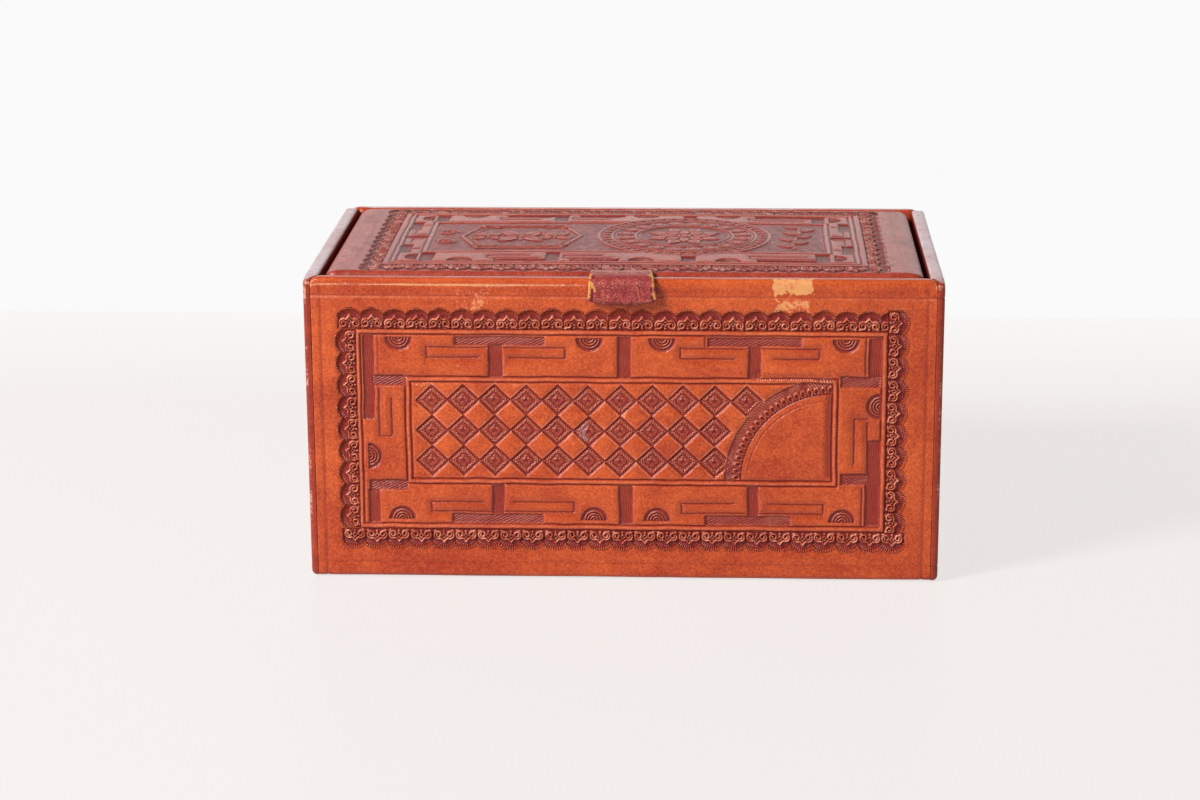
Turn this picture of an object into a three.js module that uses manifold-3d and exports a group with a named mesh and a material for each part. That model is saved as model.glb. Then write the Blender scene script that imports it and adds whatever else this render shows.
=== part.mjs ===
// A tooled leather box for papers and keepsakes: thin boards covered in leather, a set-in lid
// with a leather hinge along its back edge, and a pull tab at its front.
// Millimetres, +Z up, -Y is the front, and +X is to the right of someone who faces it. The pieces are
// laid out about the middle of the walls, and the finished box is then set with the middle of its
// whole footprint, pull tab included, on the origin. It stands on z = 0.
import * as THREE from "three";
import { mergeVertices } from "three/addons/utils/BufferGeometryUtils.js";
import Module from "manifold-3d";

const wasm = await Module();
wasm.setup();

// The box as a whole
const boxWidth = 254;
const boxDepth = 140;
const rimHeight = 125;

// The walls: a board in a wrapped cover, with a full round rim
const leatherThickness = 1.3;
const boardThickness = 3.1;
const glueLine = 0.15;
const seamInset = 3;
const seamGap = 0.3;
const cornerRadius = 1.8;
const footRadius = 2.6;
const turnIn = 22;
const overrun = 1;

// The bottom
const floorBoardThickness = 3.2;
const baseFeltThickness = 1.2;

// The lining of the inside: covered cards that the lid also rests on
const linerThickness = 3;
const floorPadThickness = 2;

// The lid
const lidBoardThickness = 5.6;
const lidRise = 1;
const lidSideGap = 1.5;
const lidFrontGap = 1.5;
const lidRestGap = 0.3;
const lidSideBevel = 7.5;
const lidFrontBevel = 3;
const lidBackBevel = 6;
const lidBevelDrop = 3.2;
const lidTurnUnder = 12;
const lidLiningThickness = 0.9;
const lidLiningClearance = 1;

// The leather hinge: one leaf on the back wall and one on the lid, in the gap between them
const hingeGap = 2.2;
const hingeLeafThickness = 0.8;
const hingeLeafHeight = 4.6;
const hingeEndGap = 1.5;

// The pull tab: a strap from the lid's front bevel over the rim. Its hanging end is folded back and
// glued, so it is thicker there. It bends where it leaves its root, which stays on the lid.
const tabThickness = 1;
const tabEndThickness = 2.6;
const tabRootWidth = 24.5;
const tabEndWidth = 27.5;
const tabRootOverlap = 3;
const tabAxisSetBack = 0.9;
const tabJointGap = 0.3;
const tabRimGap = 0.4;
const tabHang = 9.4;
const tabStandOff = 0.6;
const tabBow = 1.2;

// The pin that holds the tab's root
const pinHeadRadius = 0.7;
const pinHeadHeight = 0.3;
const pinShankRadius = 0.4;
const pinShankLength = 5;
const pinClearance = 0.3;
const pinSetBack = 1;
const pinOffset = -0.8;

// How finely the round stretches are cut
const rimSteps = 8;
const bevelSteps = 5;
const cornerSteps = 4;
const pinSides = 16;
const weldDistance = 1e-4;

// Sizes that follow from those
const halfWidth = boxWidth / 2;
const halfDepth = boxDepth / 2;
const coverInset = leatherThickness + glueLine;
const wallThickness = 2 * coverInset + boardThickness;
const innerHalfWidth = halfWidth - wallThickness;
const innerHalfDepth = halfDepth - wallThickness;
const lidThickness = lidBoardThickness + 2 * coverInset;
const lidTop = rimHeight + lidRise;
const lidUnderside = lidTop - lidThickness;
const linerTop = lidUnderside - lidRestGap;
const lidHalfWidth = innerHalfWidth - lidSideGap;
const lidFrontY = -(innerHalfDepth - lidFrontGap);
const lidBackY = innerHalfDepth - hingeGap;
const floorBoardTop = coverInset + floorBoardThickness;
const tabUnderside = lidTop + glueLine;
const tabTop = tabUnderside + tabThickness;
const tabRootY = lidFrontY + tabRootOverlap;
const tabAxisY = lidFrontY + tabAxisSetBack;

const leatherLook = new THREE.MeshStandardMaterial({ color: 0xb5531f, roughness: 0.5, metalness: 0 });
const tabLook = new THREE.MeshStandardMaterial({ color: 0x7c3022, roughness: 0.65, metalness: 0 });
const boardLook = new THREE.MeshStandardMaterial({ color: 0xc8a46e, roughness: 0.8, metalness: 0 });
const liningLook = new THREE.MeshStandardMaterial({ color: 0xa9744a, roughness: 0.9, metalness: 0 });
const feltLook = new THREE.MeshStandardMaterial({ color: 0x5a2f22, roughness: 1, metalness: 0 });
const pinLook = new THREE.MeshStandardMaterial({ color: 0x4a4038, roughness: 0.5, metalness: 0.9 });

const box = new THREE.Group();

// A three.js geometry as a closed solid for cutting and joining.
function solidOf(geometry) {
  const bare = geometry.clone();
  bare.deleteAttribute("normal");
  bare.deleteAttribute("uv");
  const merged = mergeVertices(bare, weldDistance);
  return new wasm.Manifold(
    new wasm.Mesh({
      numProp: 3,
      vertProperties: merged.attributes.position.array,
      triVerts: new Uint32Array(merged.index.array),
    }),
  );
}

// A solid back as a geometry.
function geometryOf(solid) {
  const mesh = solid.getMesh();
  const geometry = new THREE.BufferGeometry();
  geometry.setAttribute("position", new THREE.BufferAttribute(mesh.vertProperties, 3));
  geometry.setIndex(new THREE.BufferAttribute(mesh.triVerts, 1));
  geometry.computeVertexNormals();
  return geometry;
}

function add(name, solid, material) {
  const mesh = new THREE.Mesh(geometryOf(solid), material);
  mesh.name = name;
  box.add(mesh);
}

// An outline in (x, y) run up from z = from to z = to.
function prismUp(shape, from, to) {
  const geometry = new THREE.ExtrudeGeometry(shape, {
    depth: to - from,
    bevelEnabled: false,
    curveSegments: cornerSteps,
  });
  return solidOf(geometry.translate(0, 0, from));
}

// An outline in (y, z) run from x = from to x = to.
function prismAcross(shape, from, to, steps = rimSteps) {
  const geometry = new THREE.ExtrudeGeometry(shape, {
    depth: to - from,
    bevelEnabled: false,
    curveSegments: steps,
  });
  const turn = new THREE.Matrix4().makeBasis(
    new THREE.Vector3(0, 1, 0),
    new THREE.Vector3(0, 0, 1),
    new THREE.Vector3(1, 0, 0),
  );
  return solidOf(geometry.applyMatrix4(turn).translate(from, 0, 0));
}

// An outline in (x, z) run from y = from to y = to.
function prismBack(shape, from, to, steps = rimSteps) {
  const geometry = new THREE.ExtrudeGeometry(shape, {
    depth: to - from,
    bevelEnabled: false,
    curveSegments: steps,
  });
  const turn = new THREE.Matrix4().makeBasis(
    new THREE.Vector3(1, 0, 0),
    new THREE.Vector3(0, 0, 1),
    new THREE.Vector3(0, -1, 0),
  );
  return solidOf(geometry.applyMatrix4(turn).translate(0, to, 0));
}

// A straight-sided block between two corners.
function block(low, high) {
  const size = high.map((value, axis) => value - low[axis]);
  const middle = high.map((value, axis) => (value + low[axis]) / 2);
  return solidOf(new THREE.BoxGeometry(...size).translate(...middle));
}

function outline(points) {
  return new THREE.Shape(points.map(([u, v]) => new THREE.Vector2(u, v)));
}

// The section through a wall, from its outer face at 0 to its inner face, taken in on every side
// by inset: a full round rim on top and a rounded outer foot. side is 1 where the wall's inside
// lies towards plus, and -1 where it lies towards minus. face is where the outer face stands.
function wallSection(inset, face, side) {
  const outer = face + side * inset;
  const inner = face + side * (wallThickness - inset);
  const middle = face + (side * wallThickness) / 2;
  const radius = wallThickness / 2 - inset;
  const shoulder = rimHeight - wallThickness / 2;
  const foot = footRadius - inset;
  const shape = new THREE.Shape();
  shape.moveTo(inner, inset);
  shape.lineTo(inner, shoulder);
  shape.absarc(middle, shoulder, radius, side > 0 ? 0 : Math.PI, side > 0 ? Math.PI : 0, side < 0);
  shape.lineTo(outer, inset + foot);
  shape.absarc(
    outer + side * foot,
    inset + foot,
    foot,
    side > 0 ? Math.PI : 0,
    side > 0 ? 1.5 * Math.PI : -Math.PI / 2,
    side < 0,
  );
  return shape;
}

// The box from the side, taken in by inset: its top corners have the rim's radius, and its lower
// ones the foot's.
function sideOutline(inset) {
  const reach = halfDepth - inset;
  const top = rimHeight - inset;
  const radius = wallThickness / 2 - inset;
  const foot = footRadius - inset;
  const shape = new THREE.Shape();
  shape.absarc(-reach + foot, inset + foot, foot, Math.PI, 1.5 * Math.PI, false);
  shape.absarc(reach - foot, inset + foot, foot, -Math.PI / 2, 0, false);
  shape.lineTo(reach, top - radius);
  shape.absarc(reach - radius, top - radius, radius, 0, Math.PI / 2, false);
  shape.lineTo(-reach + radius, top);
  shape.absarc(-reach + radius, top - radius, radius, Math.PI / 2, Math.PI, false);
  return shape;
}

// The part of the plan that a front or back cover takes: straight to the seams on the face, then
// along the mitres to the inside. side is -1 for the front and 1 for the back.
function longPlan(side) {
  const seam = halfWidth - seamInset;
  const face = side * (halfDepth + overrun);
  const seamY = side * (halfDepth - seamInset);
  const innerY = side * innerHalfDepth;
  return outline([
    [-seam, face],
    [seam, face],
    [seam, seamY],
    [innerHalfWidth, innerY],
    [-innerHalfWidth, innerY],
    [-seam, seamY],
  ]);
}

// The part of the plan that an end cover takes, with its rounded upright corners.
// side is -1 for the left end and 1 for the right.
function endPlan(side) {
  const outer = side * halfWidth;
  const seam = side * (halfWidth - seamInset + seamGap);
  const seamY = halfDepth - seamInset;
  const inner = side * innerHalfWidth;
  const innerY = innerHalfDepth - seamGap;
  const arcX = side * (halfWidth - cornerRadius);
  const arcY = halfDepth - cornerRadius;
  const outward = side > 0 ? 0 : Math.PI;
  const shape = new THREE.Shape();
  shape.moveTo(seam, -halfDepth);
  shape.lineTo(seam, -seamY);
  shape.lineTo(inner, -innerY);
  shape.lineTo(inner, innerY);
  shape.lineTo(seam, seamY);
  shape.lineTo(seam, halfDepth);
  shape.absarc(arcX, arcY, cornerRadius, Math.PI / 2, outward, side > 0);
  shape.lineTo(outer, -arcY);
  shape.absarc(arcX, -arcY, cornerRadius, outward, side > 0 ? -Math.PI / 2 : 1.5 * Math.PI, side > 0);
  return shape;
}

// A front or back board with its cover.
function longWall(label, side) {
  const face = side * halfDepth;
  const boardEnd = innerHalfWidth + leatherThickness;
  add(
    label + "_board",
    prismAcross(wallSection(coverInset, face, -side), -boardEnd, boardEnd),
    boardLook,
  );
  const reach = halfWidth - seamInset + overrun;
  const innerFace = side * (innerHalfDepth + leatherThickness);
  const beyond = side * (innerHalfDepth - overrun);
  const belowTurnIn = block(
    [-reach, Math.min(innerFace, beyond), leatherThickness],
    [reach, Math.max(innerFace, beyond), rimHeight - turnIn],
  );
  const cover = prismAcross(wallSection(0, face, -side), -reach, reach)
    .intersect(prismUp(longPlan(side), -overrun, rimHeight + overrun))
    .subtract(prismAcross(wallSection(leatherThickness, face, -side), -reach, reach))
    .subtract(belowTurnIn);
  add(label + "_leather", cover, leatherLook);
}

// An end board with its cover, which laps round onto the front and back.
function endWall(label, side) {
  const face = side * halfWidth;
  const board = prismBack(wallSection(coverInset, face, -side), -halfDepth, halfDepth).intersect(
    prismAcross(sideOutline(coverInset), -halfWidth, halfWidth),
  );
  add(label + "_board", board, boardLook);
  const cavityEnd = halfDepth - leatherThickness;
  const innerFace = side * (innerHalfWidth + leatherThickness);
  const beyond = side * (innerHalfWidth - overrun);
  const belowTurnIn = block(
    [Math.min(innerFace, beyond), -cavityEnd, leatherThickness],
    [Math.max(innerFace, beyond), cavityEnd, rimHeight - turnIn],
  );
  const cavity = prismBack(wallSection(leatherThickness, face, -side), -halfDepth, halfDepth).intersect(
    prismAcross(sideOutline(leatherThickness), -halfWidth, halfWidth),
  );
  const cover = prismBack(wallSection(0, face, -side), -halfDepth, halfDepth)
    .intersect(prismUp(endPlan(side), -overrun, rimHeight + overrun))
    .intersect(prismAcross(sideOutline(0), -halfWidth - overrun, halfWidth + overrun))
    .subtract(cavity)
    .subtract(belowTurnIn);
  add(label + "_leather", cover, leatherLook);
}

longWall("front", -1);
longWall("back", 1);
endWall("left", -1);
endWall("right", 1);

// The bottom: a board between the walls, and a felt sheet inside the covers' turned-under edges.
const floorHalfWidth = innerHalfWidth + leatherThickness;
const floorHalfDepth = innerHalfDepth + leatherThickness;
add(
  "floor_board",
  block([-floorHalfWidth, -floorHalfDepth, coverInset], [floorHalfWidth, floorHalfDepth, floorBoardTop]),
  boardLook,
);
add(
  "base_felt",
  block(
    [-innerHalfWidth + seamGap, -innerHalfDepth + seamGap, 0],
    [innerHalfWidth - seamGap, innerHalfDepth - seamGap, baseFeltThickness],
  ),
  feltLook,
);

// The lining cards stand on the floor board. Each is thicker below the covers' turned-in edge,
// where it lies against the board itself.
const linerFoot = floorBoardTop + glueLine;
const turnInFoot = rimHeight - turnIn - glueLine;

// The section through a lining card. side is -1 for the front or left card, 1 for the others.
function linerSection(innerReach, side) {
  const againstBoard = side * (innerReach + leatherThickness);
  const againstTurnIn = side * (innerReach - glueLine);
  const inside = side * (innerReach - glueLine - linerThickness);
  return outline([
    [againstBoard, linerFoot],
    [againstBoard, turnInFoot],
    [againstTurnIn, turnInFoot],
    [againstTurnIn, linerTop],
    [inside, linerTop],
    [inside, linerFoot],
  ]);
}

const longLinerEnd = innerHalfWidth - glueLine;
const endLinerEnd = innerHalfDepth - linerThickness - 2 * glueLine;
add("front_liner", prismAcross(linerSection(innerHalfDepth, -1), -longLinerEnd, longLinerEnd), liningLook);
add("back_liner", prismAcross(linerSection(innerHalfDepth, 1), -longLinerEnd, longLinerEnd), liningLook);
add("left_liner", prismBack(linerSection(innerHalfWidth, -1), -endLinerEnd, endLinerEnd), liningLook);
add("right_liner", prismBack(linerSection(innerHalfWidth, 1), -endLinerEnd, endLinerEnd), liningLook);

const padHalfWidth = innerHalfWidth - linerThickness - 2 * glueLine;
const padHalfDepth = endLinerEnd;
add(
  "floor_liner",
  block(
    [-padHalfWidth, -padHalfDepth, linerFoot],
    [padHalfWidth, padHalfDepth, linerFoot + floorPadThickness],
  ),
  liningLook,
);

// A lid section taken in by inset: upright edges, then a quarter ellipse up to the flat top.
function lidSection(low, high, lowBevel, highBevel, inset) {
  const bottom = lidUnderside + inset;
  const top = lidTop - inset;
  const shoulder = top - lidBevelDrop;
  const shape = new THREE.Shape();
  shape.moveTo(low + inset, bottom);
  shape.lineTo(high - inset, bottom);
  shape.lineTo(high - inset, shoulder);
  const lowRound = low + inset + lowBevel;
  const highRound = high - inset - highBevel;
  shape.absellipse(highRound, shoulder, highBevel, lidBevelDrop, 0, Math.PI / 2, false, 0);
  shape.lineTo(lowRound, top);
  shape.absellipse(lowRound, shoulder, lowBevel, lidBevelDrop, Math.PI / 2, Math.PI, false, 0);
  return shape;
}

// The lid's outer form taken in by inset, bevelled on all four edges.
function lidForm(inset) {
  const across = lidSection(-lidHalfWidth, lidHalfWidth, lidSideBevel, lidSideBevel, inset);
  const along = lidSection(lidFrontY, lidBackY, lidFrontBevel, lidBackBevel, inset);
  return prismBack(across, lidFrontY - overrun, lidBackY + overrun, bevelSteps).intersect(
    prismAcross(along, -lidHalfWidth - overrun, lidHalfWidth + overrun, bevelSteps),
  );
}

// The pin stands upright through the tab's root, the lid's leather and its board.
const pinY = tabRootY - pinSetBack;
function pinHole() {
  const radius = pinShankRadius + pinClearance;
  const length = pinShankLength + pinClearance + overrun;
  const hole = new THREE.CylinderGeometry(radius, radius, length, pinSides);
  hole.rotateX(Math.PI / 2).translate(pinOffset, pinY, tabTop + overrun - length / 2);
  return solidOf(hole);
}

add("lid_board", lidForm(coverInset).subtract(pinHole()), boardLook);

// The lid's leather wraps the board and is turned under it as a border.
const turnUnderOpening = block(
  [-lidHalfWidth + lidTurnUnder, lidFrontY + lidTurnUnder, lidUnderside - overrun],
  [lidHalfWidth - lidTurnUnder, lidBackY - lidTurnUnder, lidUnderside + leatherThickness + overrun],
);
add(
  "lid_leather",
  lidForm(0).subtract(lidForm(leatherThickness)).subtract(turnUnderOpening).subtract(pinHole()),
  leatherLook,
);

// The lid's lining: a sheet under the turned-under border, with a step that fills its opening.
const liningHalfWidth = innerHalfWidth - linerThickness - glueLine - lidLiningClearance;
const liningHalfDepth = innerHalfDepth - linerThickness - glueLine - lidLiningClearance;
const liningTop = lidUnderside - glueLine;
const liningSheet = block(
  [-liningHalfWidth, -liningHalfDepth, liningTop - lidLiningThickness],
  [liningHalfWidth, liningHalfDepth, liningTop],
);
const stepInset = lidTurnUnder + glueLine;
const stepReach = lidHalfWidth - stepInset;
const liningStep = block(
  [-stepReach, lidFrontY + stepInset, liningTop - lidLiningThickness / 2],
  [stepReach, lidBackY - stepInset, lidUnderside + leatherThickness],
);
add("lid_lining", liningSheet.add(liningStep), liningLook);

// The hinge's two leaves stand back to back in the gap behind the lid. They bend where they meet,
// at the top, so that line is the hinge's axis.
const hingeTop = lidTop - lidBevelDrop;
const leafHalfWidth = lidHalfWidth - hingeEndGap;
const leafGap = (hingeGap - 2 * hingeLeafThickness) / 3;
const lidLeafY = lidBackY + leafGap;
const wallLeafY = lidLeafY + hingeLeafThickness + leafGap;
add(
  "hinge_lid_leaf",
  block(
    [-leafHalfWidth, lidLeafY, hingeTop - hingeLeafHeight],
    [leafHalfWidth, lidLeafY + hingeLeafThickness, hingeTop],
  ),
  leatherLook,
);
add(
  "hinge_wall_leaf",
  block(
    [-leafHalfWidth, wallLeafY, hingeTop - hingeLeafHeight],
    [leafHalfWidth, wallLeafY + hingeLeafThickness, hingeTop],
  ),
  leatherLook,
);

// The tab's root: the short flat stretch of the strap that is glued and pinned to the lid.
const tabRoot = block(
  [-tabRootWidth / 2, tabAxisY + tabJointGap / 2, tabUnderside],
  [tabRootWidth / 2, tabRootY, tabTop],
);
add("pull_tab_root", tabRoot.subtract(pinHole()), tabLook);

// The strap from the side: from its root down to the middle of the rim, round the rim, down the
// front to a round nose, and back up its inner face.
function strapSection() {
  const start = tabAxisY - tabJointGap / 2;
  const rimY = -halfDepth + wallThickness / 2;
  const shoulder = rimHeight - wallThickness / 2;
  const innerReach = wallThickness / 2 + tabRimGap;
  const outerReach = innerReach + tabEndThickness;
  const crest = rimHeight + tabRimGap;
  const innerRise = crest - shoulder;
  const outerRise = innerRise + tabThickness;
  const nose = tabEndThickness / 2;
  const noseY = rimY - innerReach - tabStandOff - nose;
  const noseZ = rimHeight - tabHang + nose;
  const shape = new THREE.Shape();
  shape.moveTo(start, tabUnderside);
  shape.lineTo(start, tabTop);
  shape.lineTo(rimY, crest + tabThickness);
  shape.absellipse(rimY, shoulder, outerReach, outerRise, Math.PI / 2, Math.PI, false, 0);
  shape.lineTo(noseY - nose, noseZ);
  shape.absarc(noseY, noseZ, nose, Math.PI, 2 * Math.PI, false);
  shape.lineTo(rimY - innerReach, shoulder);
  shape.absellipse(rimY, shoulder, innerReach, innerRise, Math.PI, Math.PI / 2, true, 0);
  return shape;
}

// The strap from the front: a little wider at its end than at its root, with a bowed lower edge.
function strapFront() {
  const bottom = rimHeight - tabHang;
  const shape = new THREE.Shape();
  shape.moveTo(tabRootWidth / 2, tabTop);
  shape.lineTo(-tabRootWidth / 2, tabTop);
  shape.lineTo(-tabEndWidth / 2, bottom + tabBow);
  shape.quadraticCurveTo(0, bottom - tabBow, tabEndWidth / 2, bottom + tabBow);
  return shape;
}

add(
  "pull_tab",
  prismAcross(strapSection(), -tabEndWidth / 2, tabEndWidth / 2).intersect(
    prismBack(strapFront(), -boxDepth, 0),
  ),
  tabLook,
);

// The pin: a low round head on the tab's root and a straight shank.
const pinProfile = new THREE.Shape();
pinProfile.moveTo(0, -pinShankLength);
pinProfile.lineTo(pinShankRadius, -pinShankLength);
pinProfile.lineTo(pinShankRadius, glueLine);
pinProfile.lineTo(pinHeadRadius, glueLine);
pinProfile.absellipse(0, glueLine, pinHeadRadius, pinHeadHeight, 0, Math.PI / 2, false, 0);
const pin = new THREE.LatheGeometry(pinProfile.getPoints(cornerSteps), pinSides);
pin.rotateX(Math.PI / 2).translate(pinOffset, pinY, tabTop);
add("tab_pin", solidOf(pin), pinLook);

const footprint = new THREE.Box3().setFromObject(box);
box.position.y = -(footprint.min.y + footprint.max.y) / 2;

export default box;
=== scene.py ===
import bmesh
import bpy
import numpy as np
from mathutils import Matrix, Vector


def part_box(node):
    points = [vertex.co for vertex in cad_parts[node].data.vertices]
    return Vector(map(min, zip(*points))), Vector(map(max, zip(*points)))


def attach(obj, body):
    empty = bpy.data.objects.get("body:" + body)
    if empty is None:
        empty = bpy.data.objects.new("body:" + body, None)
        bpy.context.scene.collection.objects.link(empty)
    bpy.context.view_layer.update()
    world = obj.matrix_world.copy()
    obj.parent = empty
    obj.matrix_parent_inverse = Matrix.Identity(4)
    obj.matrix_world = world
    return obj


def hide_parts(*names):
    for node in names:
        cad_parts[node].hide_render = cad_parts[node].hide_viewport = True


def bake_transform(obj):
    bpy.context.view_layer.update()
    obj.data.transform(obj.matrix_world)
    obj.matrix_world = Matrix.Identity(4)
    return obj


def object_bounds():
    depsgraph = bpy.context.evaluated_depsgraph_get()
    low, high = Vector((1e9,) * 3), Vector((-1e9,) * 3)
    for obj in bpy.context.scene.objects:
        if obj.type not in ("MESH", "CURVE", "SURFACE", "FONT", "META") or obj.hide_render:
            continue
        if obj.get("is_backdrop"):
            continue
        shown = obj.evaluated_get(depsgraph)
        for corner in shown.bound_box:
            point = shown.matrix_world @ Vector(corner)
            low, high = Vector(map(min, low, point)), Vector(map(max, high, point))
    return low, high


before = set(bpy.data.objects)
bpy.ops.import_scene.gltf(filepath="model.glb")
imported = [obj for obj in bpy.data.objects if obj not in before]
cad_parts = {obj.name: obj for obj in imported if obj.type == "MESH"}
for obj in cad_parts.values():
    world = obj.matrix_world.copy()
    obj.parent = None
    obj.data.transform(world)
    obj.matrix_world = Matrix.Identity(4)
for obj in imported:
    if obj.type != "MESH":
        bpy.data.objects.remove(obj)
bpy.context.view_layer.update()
print("stage: frame loaded")

# The tooling is laid out in millimetres on each face: x to the right and z up, from the middle of
# the walls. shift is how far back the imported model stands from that. cuff is how far an end cover
# laps round onto the long sides. deepest is where the tools stop, in leather 1.45 mm thick.
wall = dict(width=254.0, depth=140.0, rim=125.0, thick=6.0, foot=2.6, cuff=3.0, corner=1.8, deepest=1.36)
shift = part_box("front_leather")[0][1] * 1000 + wall["depth"] / 2


def linear(code):
    # An sRGB colour such as #9E2E12, turned to linear light.
    raw = np.array([int(code[i:i + 2], 16) for i in (1, 3, 5)]) / 255
    return (*np.where(raw <= 0.04045, raw / 12.92, ((raw + 0.055) / 1.055) ** 2.4), 1.0)


def spaced(*runs):
    # Values from one number to the next, evenly spaced. Each run is (from, to, step).
    parts = [np.linspace(a, b, max(2, int(round(abs(b - a) / s)) + 1))[:-1] for a, b, s in runs]
    return np.concatenate(parts + [[runs[-1][1]]])


def bell(values, middle, width):
    # 1 at the middle, and falling off on both sides as a bell curve.
    return np.exp(-((values - middle) / width) ** 2)


def soft(distance, width=0.55):
    # 1 inside an outline, 0 outside it, with a smooth step of the given width across it.
    t = np.clip(0.5 - distance / width, 0, 1)
    return t * t * (3 - 2 * t)


def stroke(distance, half, width):
    # 1 up to half to both sides of a line, with soft's step.
    return soft(np.abs(distance) - half, width)


def noise(x, z, size, seed):
    # Smooth value noise: random numbers on a square lattice of the given size, eased between.
    table = np.random.default_rng(seed).random((257, 257))
    u, v = x / size + 71.3, z / size + 37.9
    i, j = np.floor(u).astype(int), np.floor(v).astype(int)
    a, b = u - i, v - j
    a, b = a * a * (3 - 2 * a), b * b * (3 - 2 * b)
    i, j = i % 256, j % 256
    near = table[i, j] * (1 - a) + table[i + 1, j] * a
    far = table[i, j + 1] * (1 - a) + table[i + 1, j + 1] * a
    return near * (1 - b) + far * b


# What each point of a skin carries for its material.
carried = ("stain", "wear", "hatch", "phase", "tone", "rub", "dust")


def field(x, z, seed):
    # What is known at each point of a skin: how far it is pressed in, its stain, hatching and wear.
    f = dict(x=x, z=z, drop=np.full(x.shape, 0.1))
    f.update((key, np.zeros(x.shape)) for key in ("stain", "wear", "hatch", "phase", "rub", "dust"))
    f["wobble"] = (noise(x, z, 7, seed) - 0.5) * 0.5, (noise(x, z, 7, seed + 1) - 0.5) * 0.5
    f["tone"] = (0.5 * noise(x, z, 23, seed + 2) + 0.25 * noise(x, z, 6, seed + 3)
                 + 0.25 * noise(x * 0.25, z, 2.6, seed + 4))
    return f


def atLeast(f, key, values):
    # Lifts one of a skin's values to the given ones wherever it is lower.
    f[key] = np.maximum(f[key], values)


def fill(f, key, mask, values):
    # Puts values in place of what a skin has, by how much of the mask lies on it.
    f[key] = f[key] * (1 - mask) + values * mask


def press(f, mask, depth, stain):
    # Sinks the surface and stains it, by how much of the mask lies on it.
    atLeast(f, "drop", 0.1 + depth * mask)
    atLeast(f, "stain", stain * mask)


def lift(f, mask, share, clean):
    # Raises the surface by a share of its drop, and takes off a share of its stain.
    f["drop"] = f["drop"] * (1 - share * mask)
    f["stain"] = f["stain"] * (1 - clean * mask)


def hatch(f, mask, phase):
    # Marks where a tool's fine lines run. phase counts the lines.
    f["phase"] = np.where(mask > 0.02, phase, f["phase"])
    f["hatch"] = np.maximum(f["hatch"] * np.clip(1 - mask, 0, 1), mask)


def blurred(values, reach):
    # The mean over a square of neighbours, from running sums along each axis.
    for axis in (0, 1):
        start = np.arange(values.shape[axis])
        margin = [(0, 0), (0, 0)]
        margin[axis] = (reach + 1, reach)
        total = np.cumsum(np.pad(values, margin, mode="edge"), axis)
        span = 2 * reach + 1
        values = (np.take(total, start + span, axis) - np.take(total, start, axis)) / span
    return values


def boxGap(f, x0, x1, z0, z1):
    # Signed distance to an upright box, with slightly uneven hand-cut edges.
    wx, wz = f["wobble"]
    dx = np.abs(f["x"] + wx - (x0 + x1) / 2) - abs(x1 - x0) / 2
    dz = np.abs(f["z"] + wz - (z0 + z1) / 2) - abs(z1 - z0) / 2
    return np.hypot(np.maximum(dx, 0), np.maximum(dz, 0)) + np.minimum(np.maximum(dx, dz), 0)


def segment(x, y, ax, ay, bx, by):
    # Distance to the straight line from (ax, ay) to (bx, by).
    ex, ey = bx - ax, by - ay
    t = np.clip(((x - ax) * ex + (y - ay) * ey) / (ex * ex + ey * ey), 0, 1)
    return np.hypot(x - ax - t * ex, y - ay - t * ey)


def lineGap(f, points):
    # Distance to a chain of straight lines, slightly uneven.
    wx, wz = f["wobble"]
    x, z = f["x"] + wx * 0.7, f["z"] + wz * 0.7
    best = np.full(x.shape, 1e3)
    for a, b in zip(points[:-1], points[1:]):
        best = np.minimum(best, segment(x, z, *a, *b))
    return best


def groove(f, points, width=0.7, depth=0.65, stain=0.78):
    # A ruled line: a wide soft hollow, a narrow cut in it, and stain in the cut.
    gap = lineGap(f, points)
    press(f, soft(gap - width, 2.2), depth * 0.3, stain * 0.3)
    press(f, soft(gap - width / 2, 1.1), depth, 0)
    press(f, soft(gap - width / 2, 0.7), 0, stain)


def bar(f, x0, x1, z0, z1, lean=0.35, stain=0.94, pitch=1.05):
    # A sunk bar, matted with slanting hatching. Level bars are the more strongly hatched.
    level = abs(x1 - x0) > abs(z1 - z0)
    lines, wearAndHighlight = (0.9, 0.55) if level else (0.45, 0.12)
    gap = boxGap(f, x0, x1, z0, z1)
    mask = soft(gap, 0.6)
    press(f, soft(gap - 0.9, 3.0), 0.28, 0.34)
    press(f, soft(gap - 0.1, 1.3), 1.0, 0)
    press(f, mask, 1.0, stain)
    press(f, stroke(gap + 0.3, 0.2, 0.6), 1.15, stain + 0.08)
    along = (f["z"] - f["x"] * lean if level else f["x"] + f["z"] * lean) / pitch
    hatch(f, mask * lines, along)
    # Pale strokes along the hatching, in patches: partly worn scratches, partly painted highlight.
    pale = np.clip(noise(f["x"] - 2 * f["z"], f["z"], 5, 61) * 3.4 - 1.9, 0, 1) * wearAndHighlight
    fill(f, "rub", mask, pale * soft(0.5 - np.cos(2 * np.pi * along), 0.6))


def hook(f, points):
    # An open key: one line round a raised strip, softly shaded on both sides.
    gap = lineGap(f, points)
    press(f, soft(gap - 1.5, 3.6), 0.45, 0.34)
    groove(f, points, 0.7, 1.0, 0.7)


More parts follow.
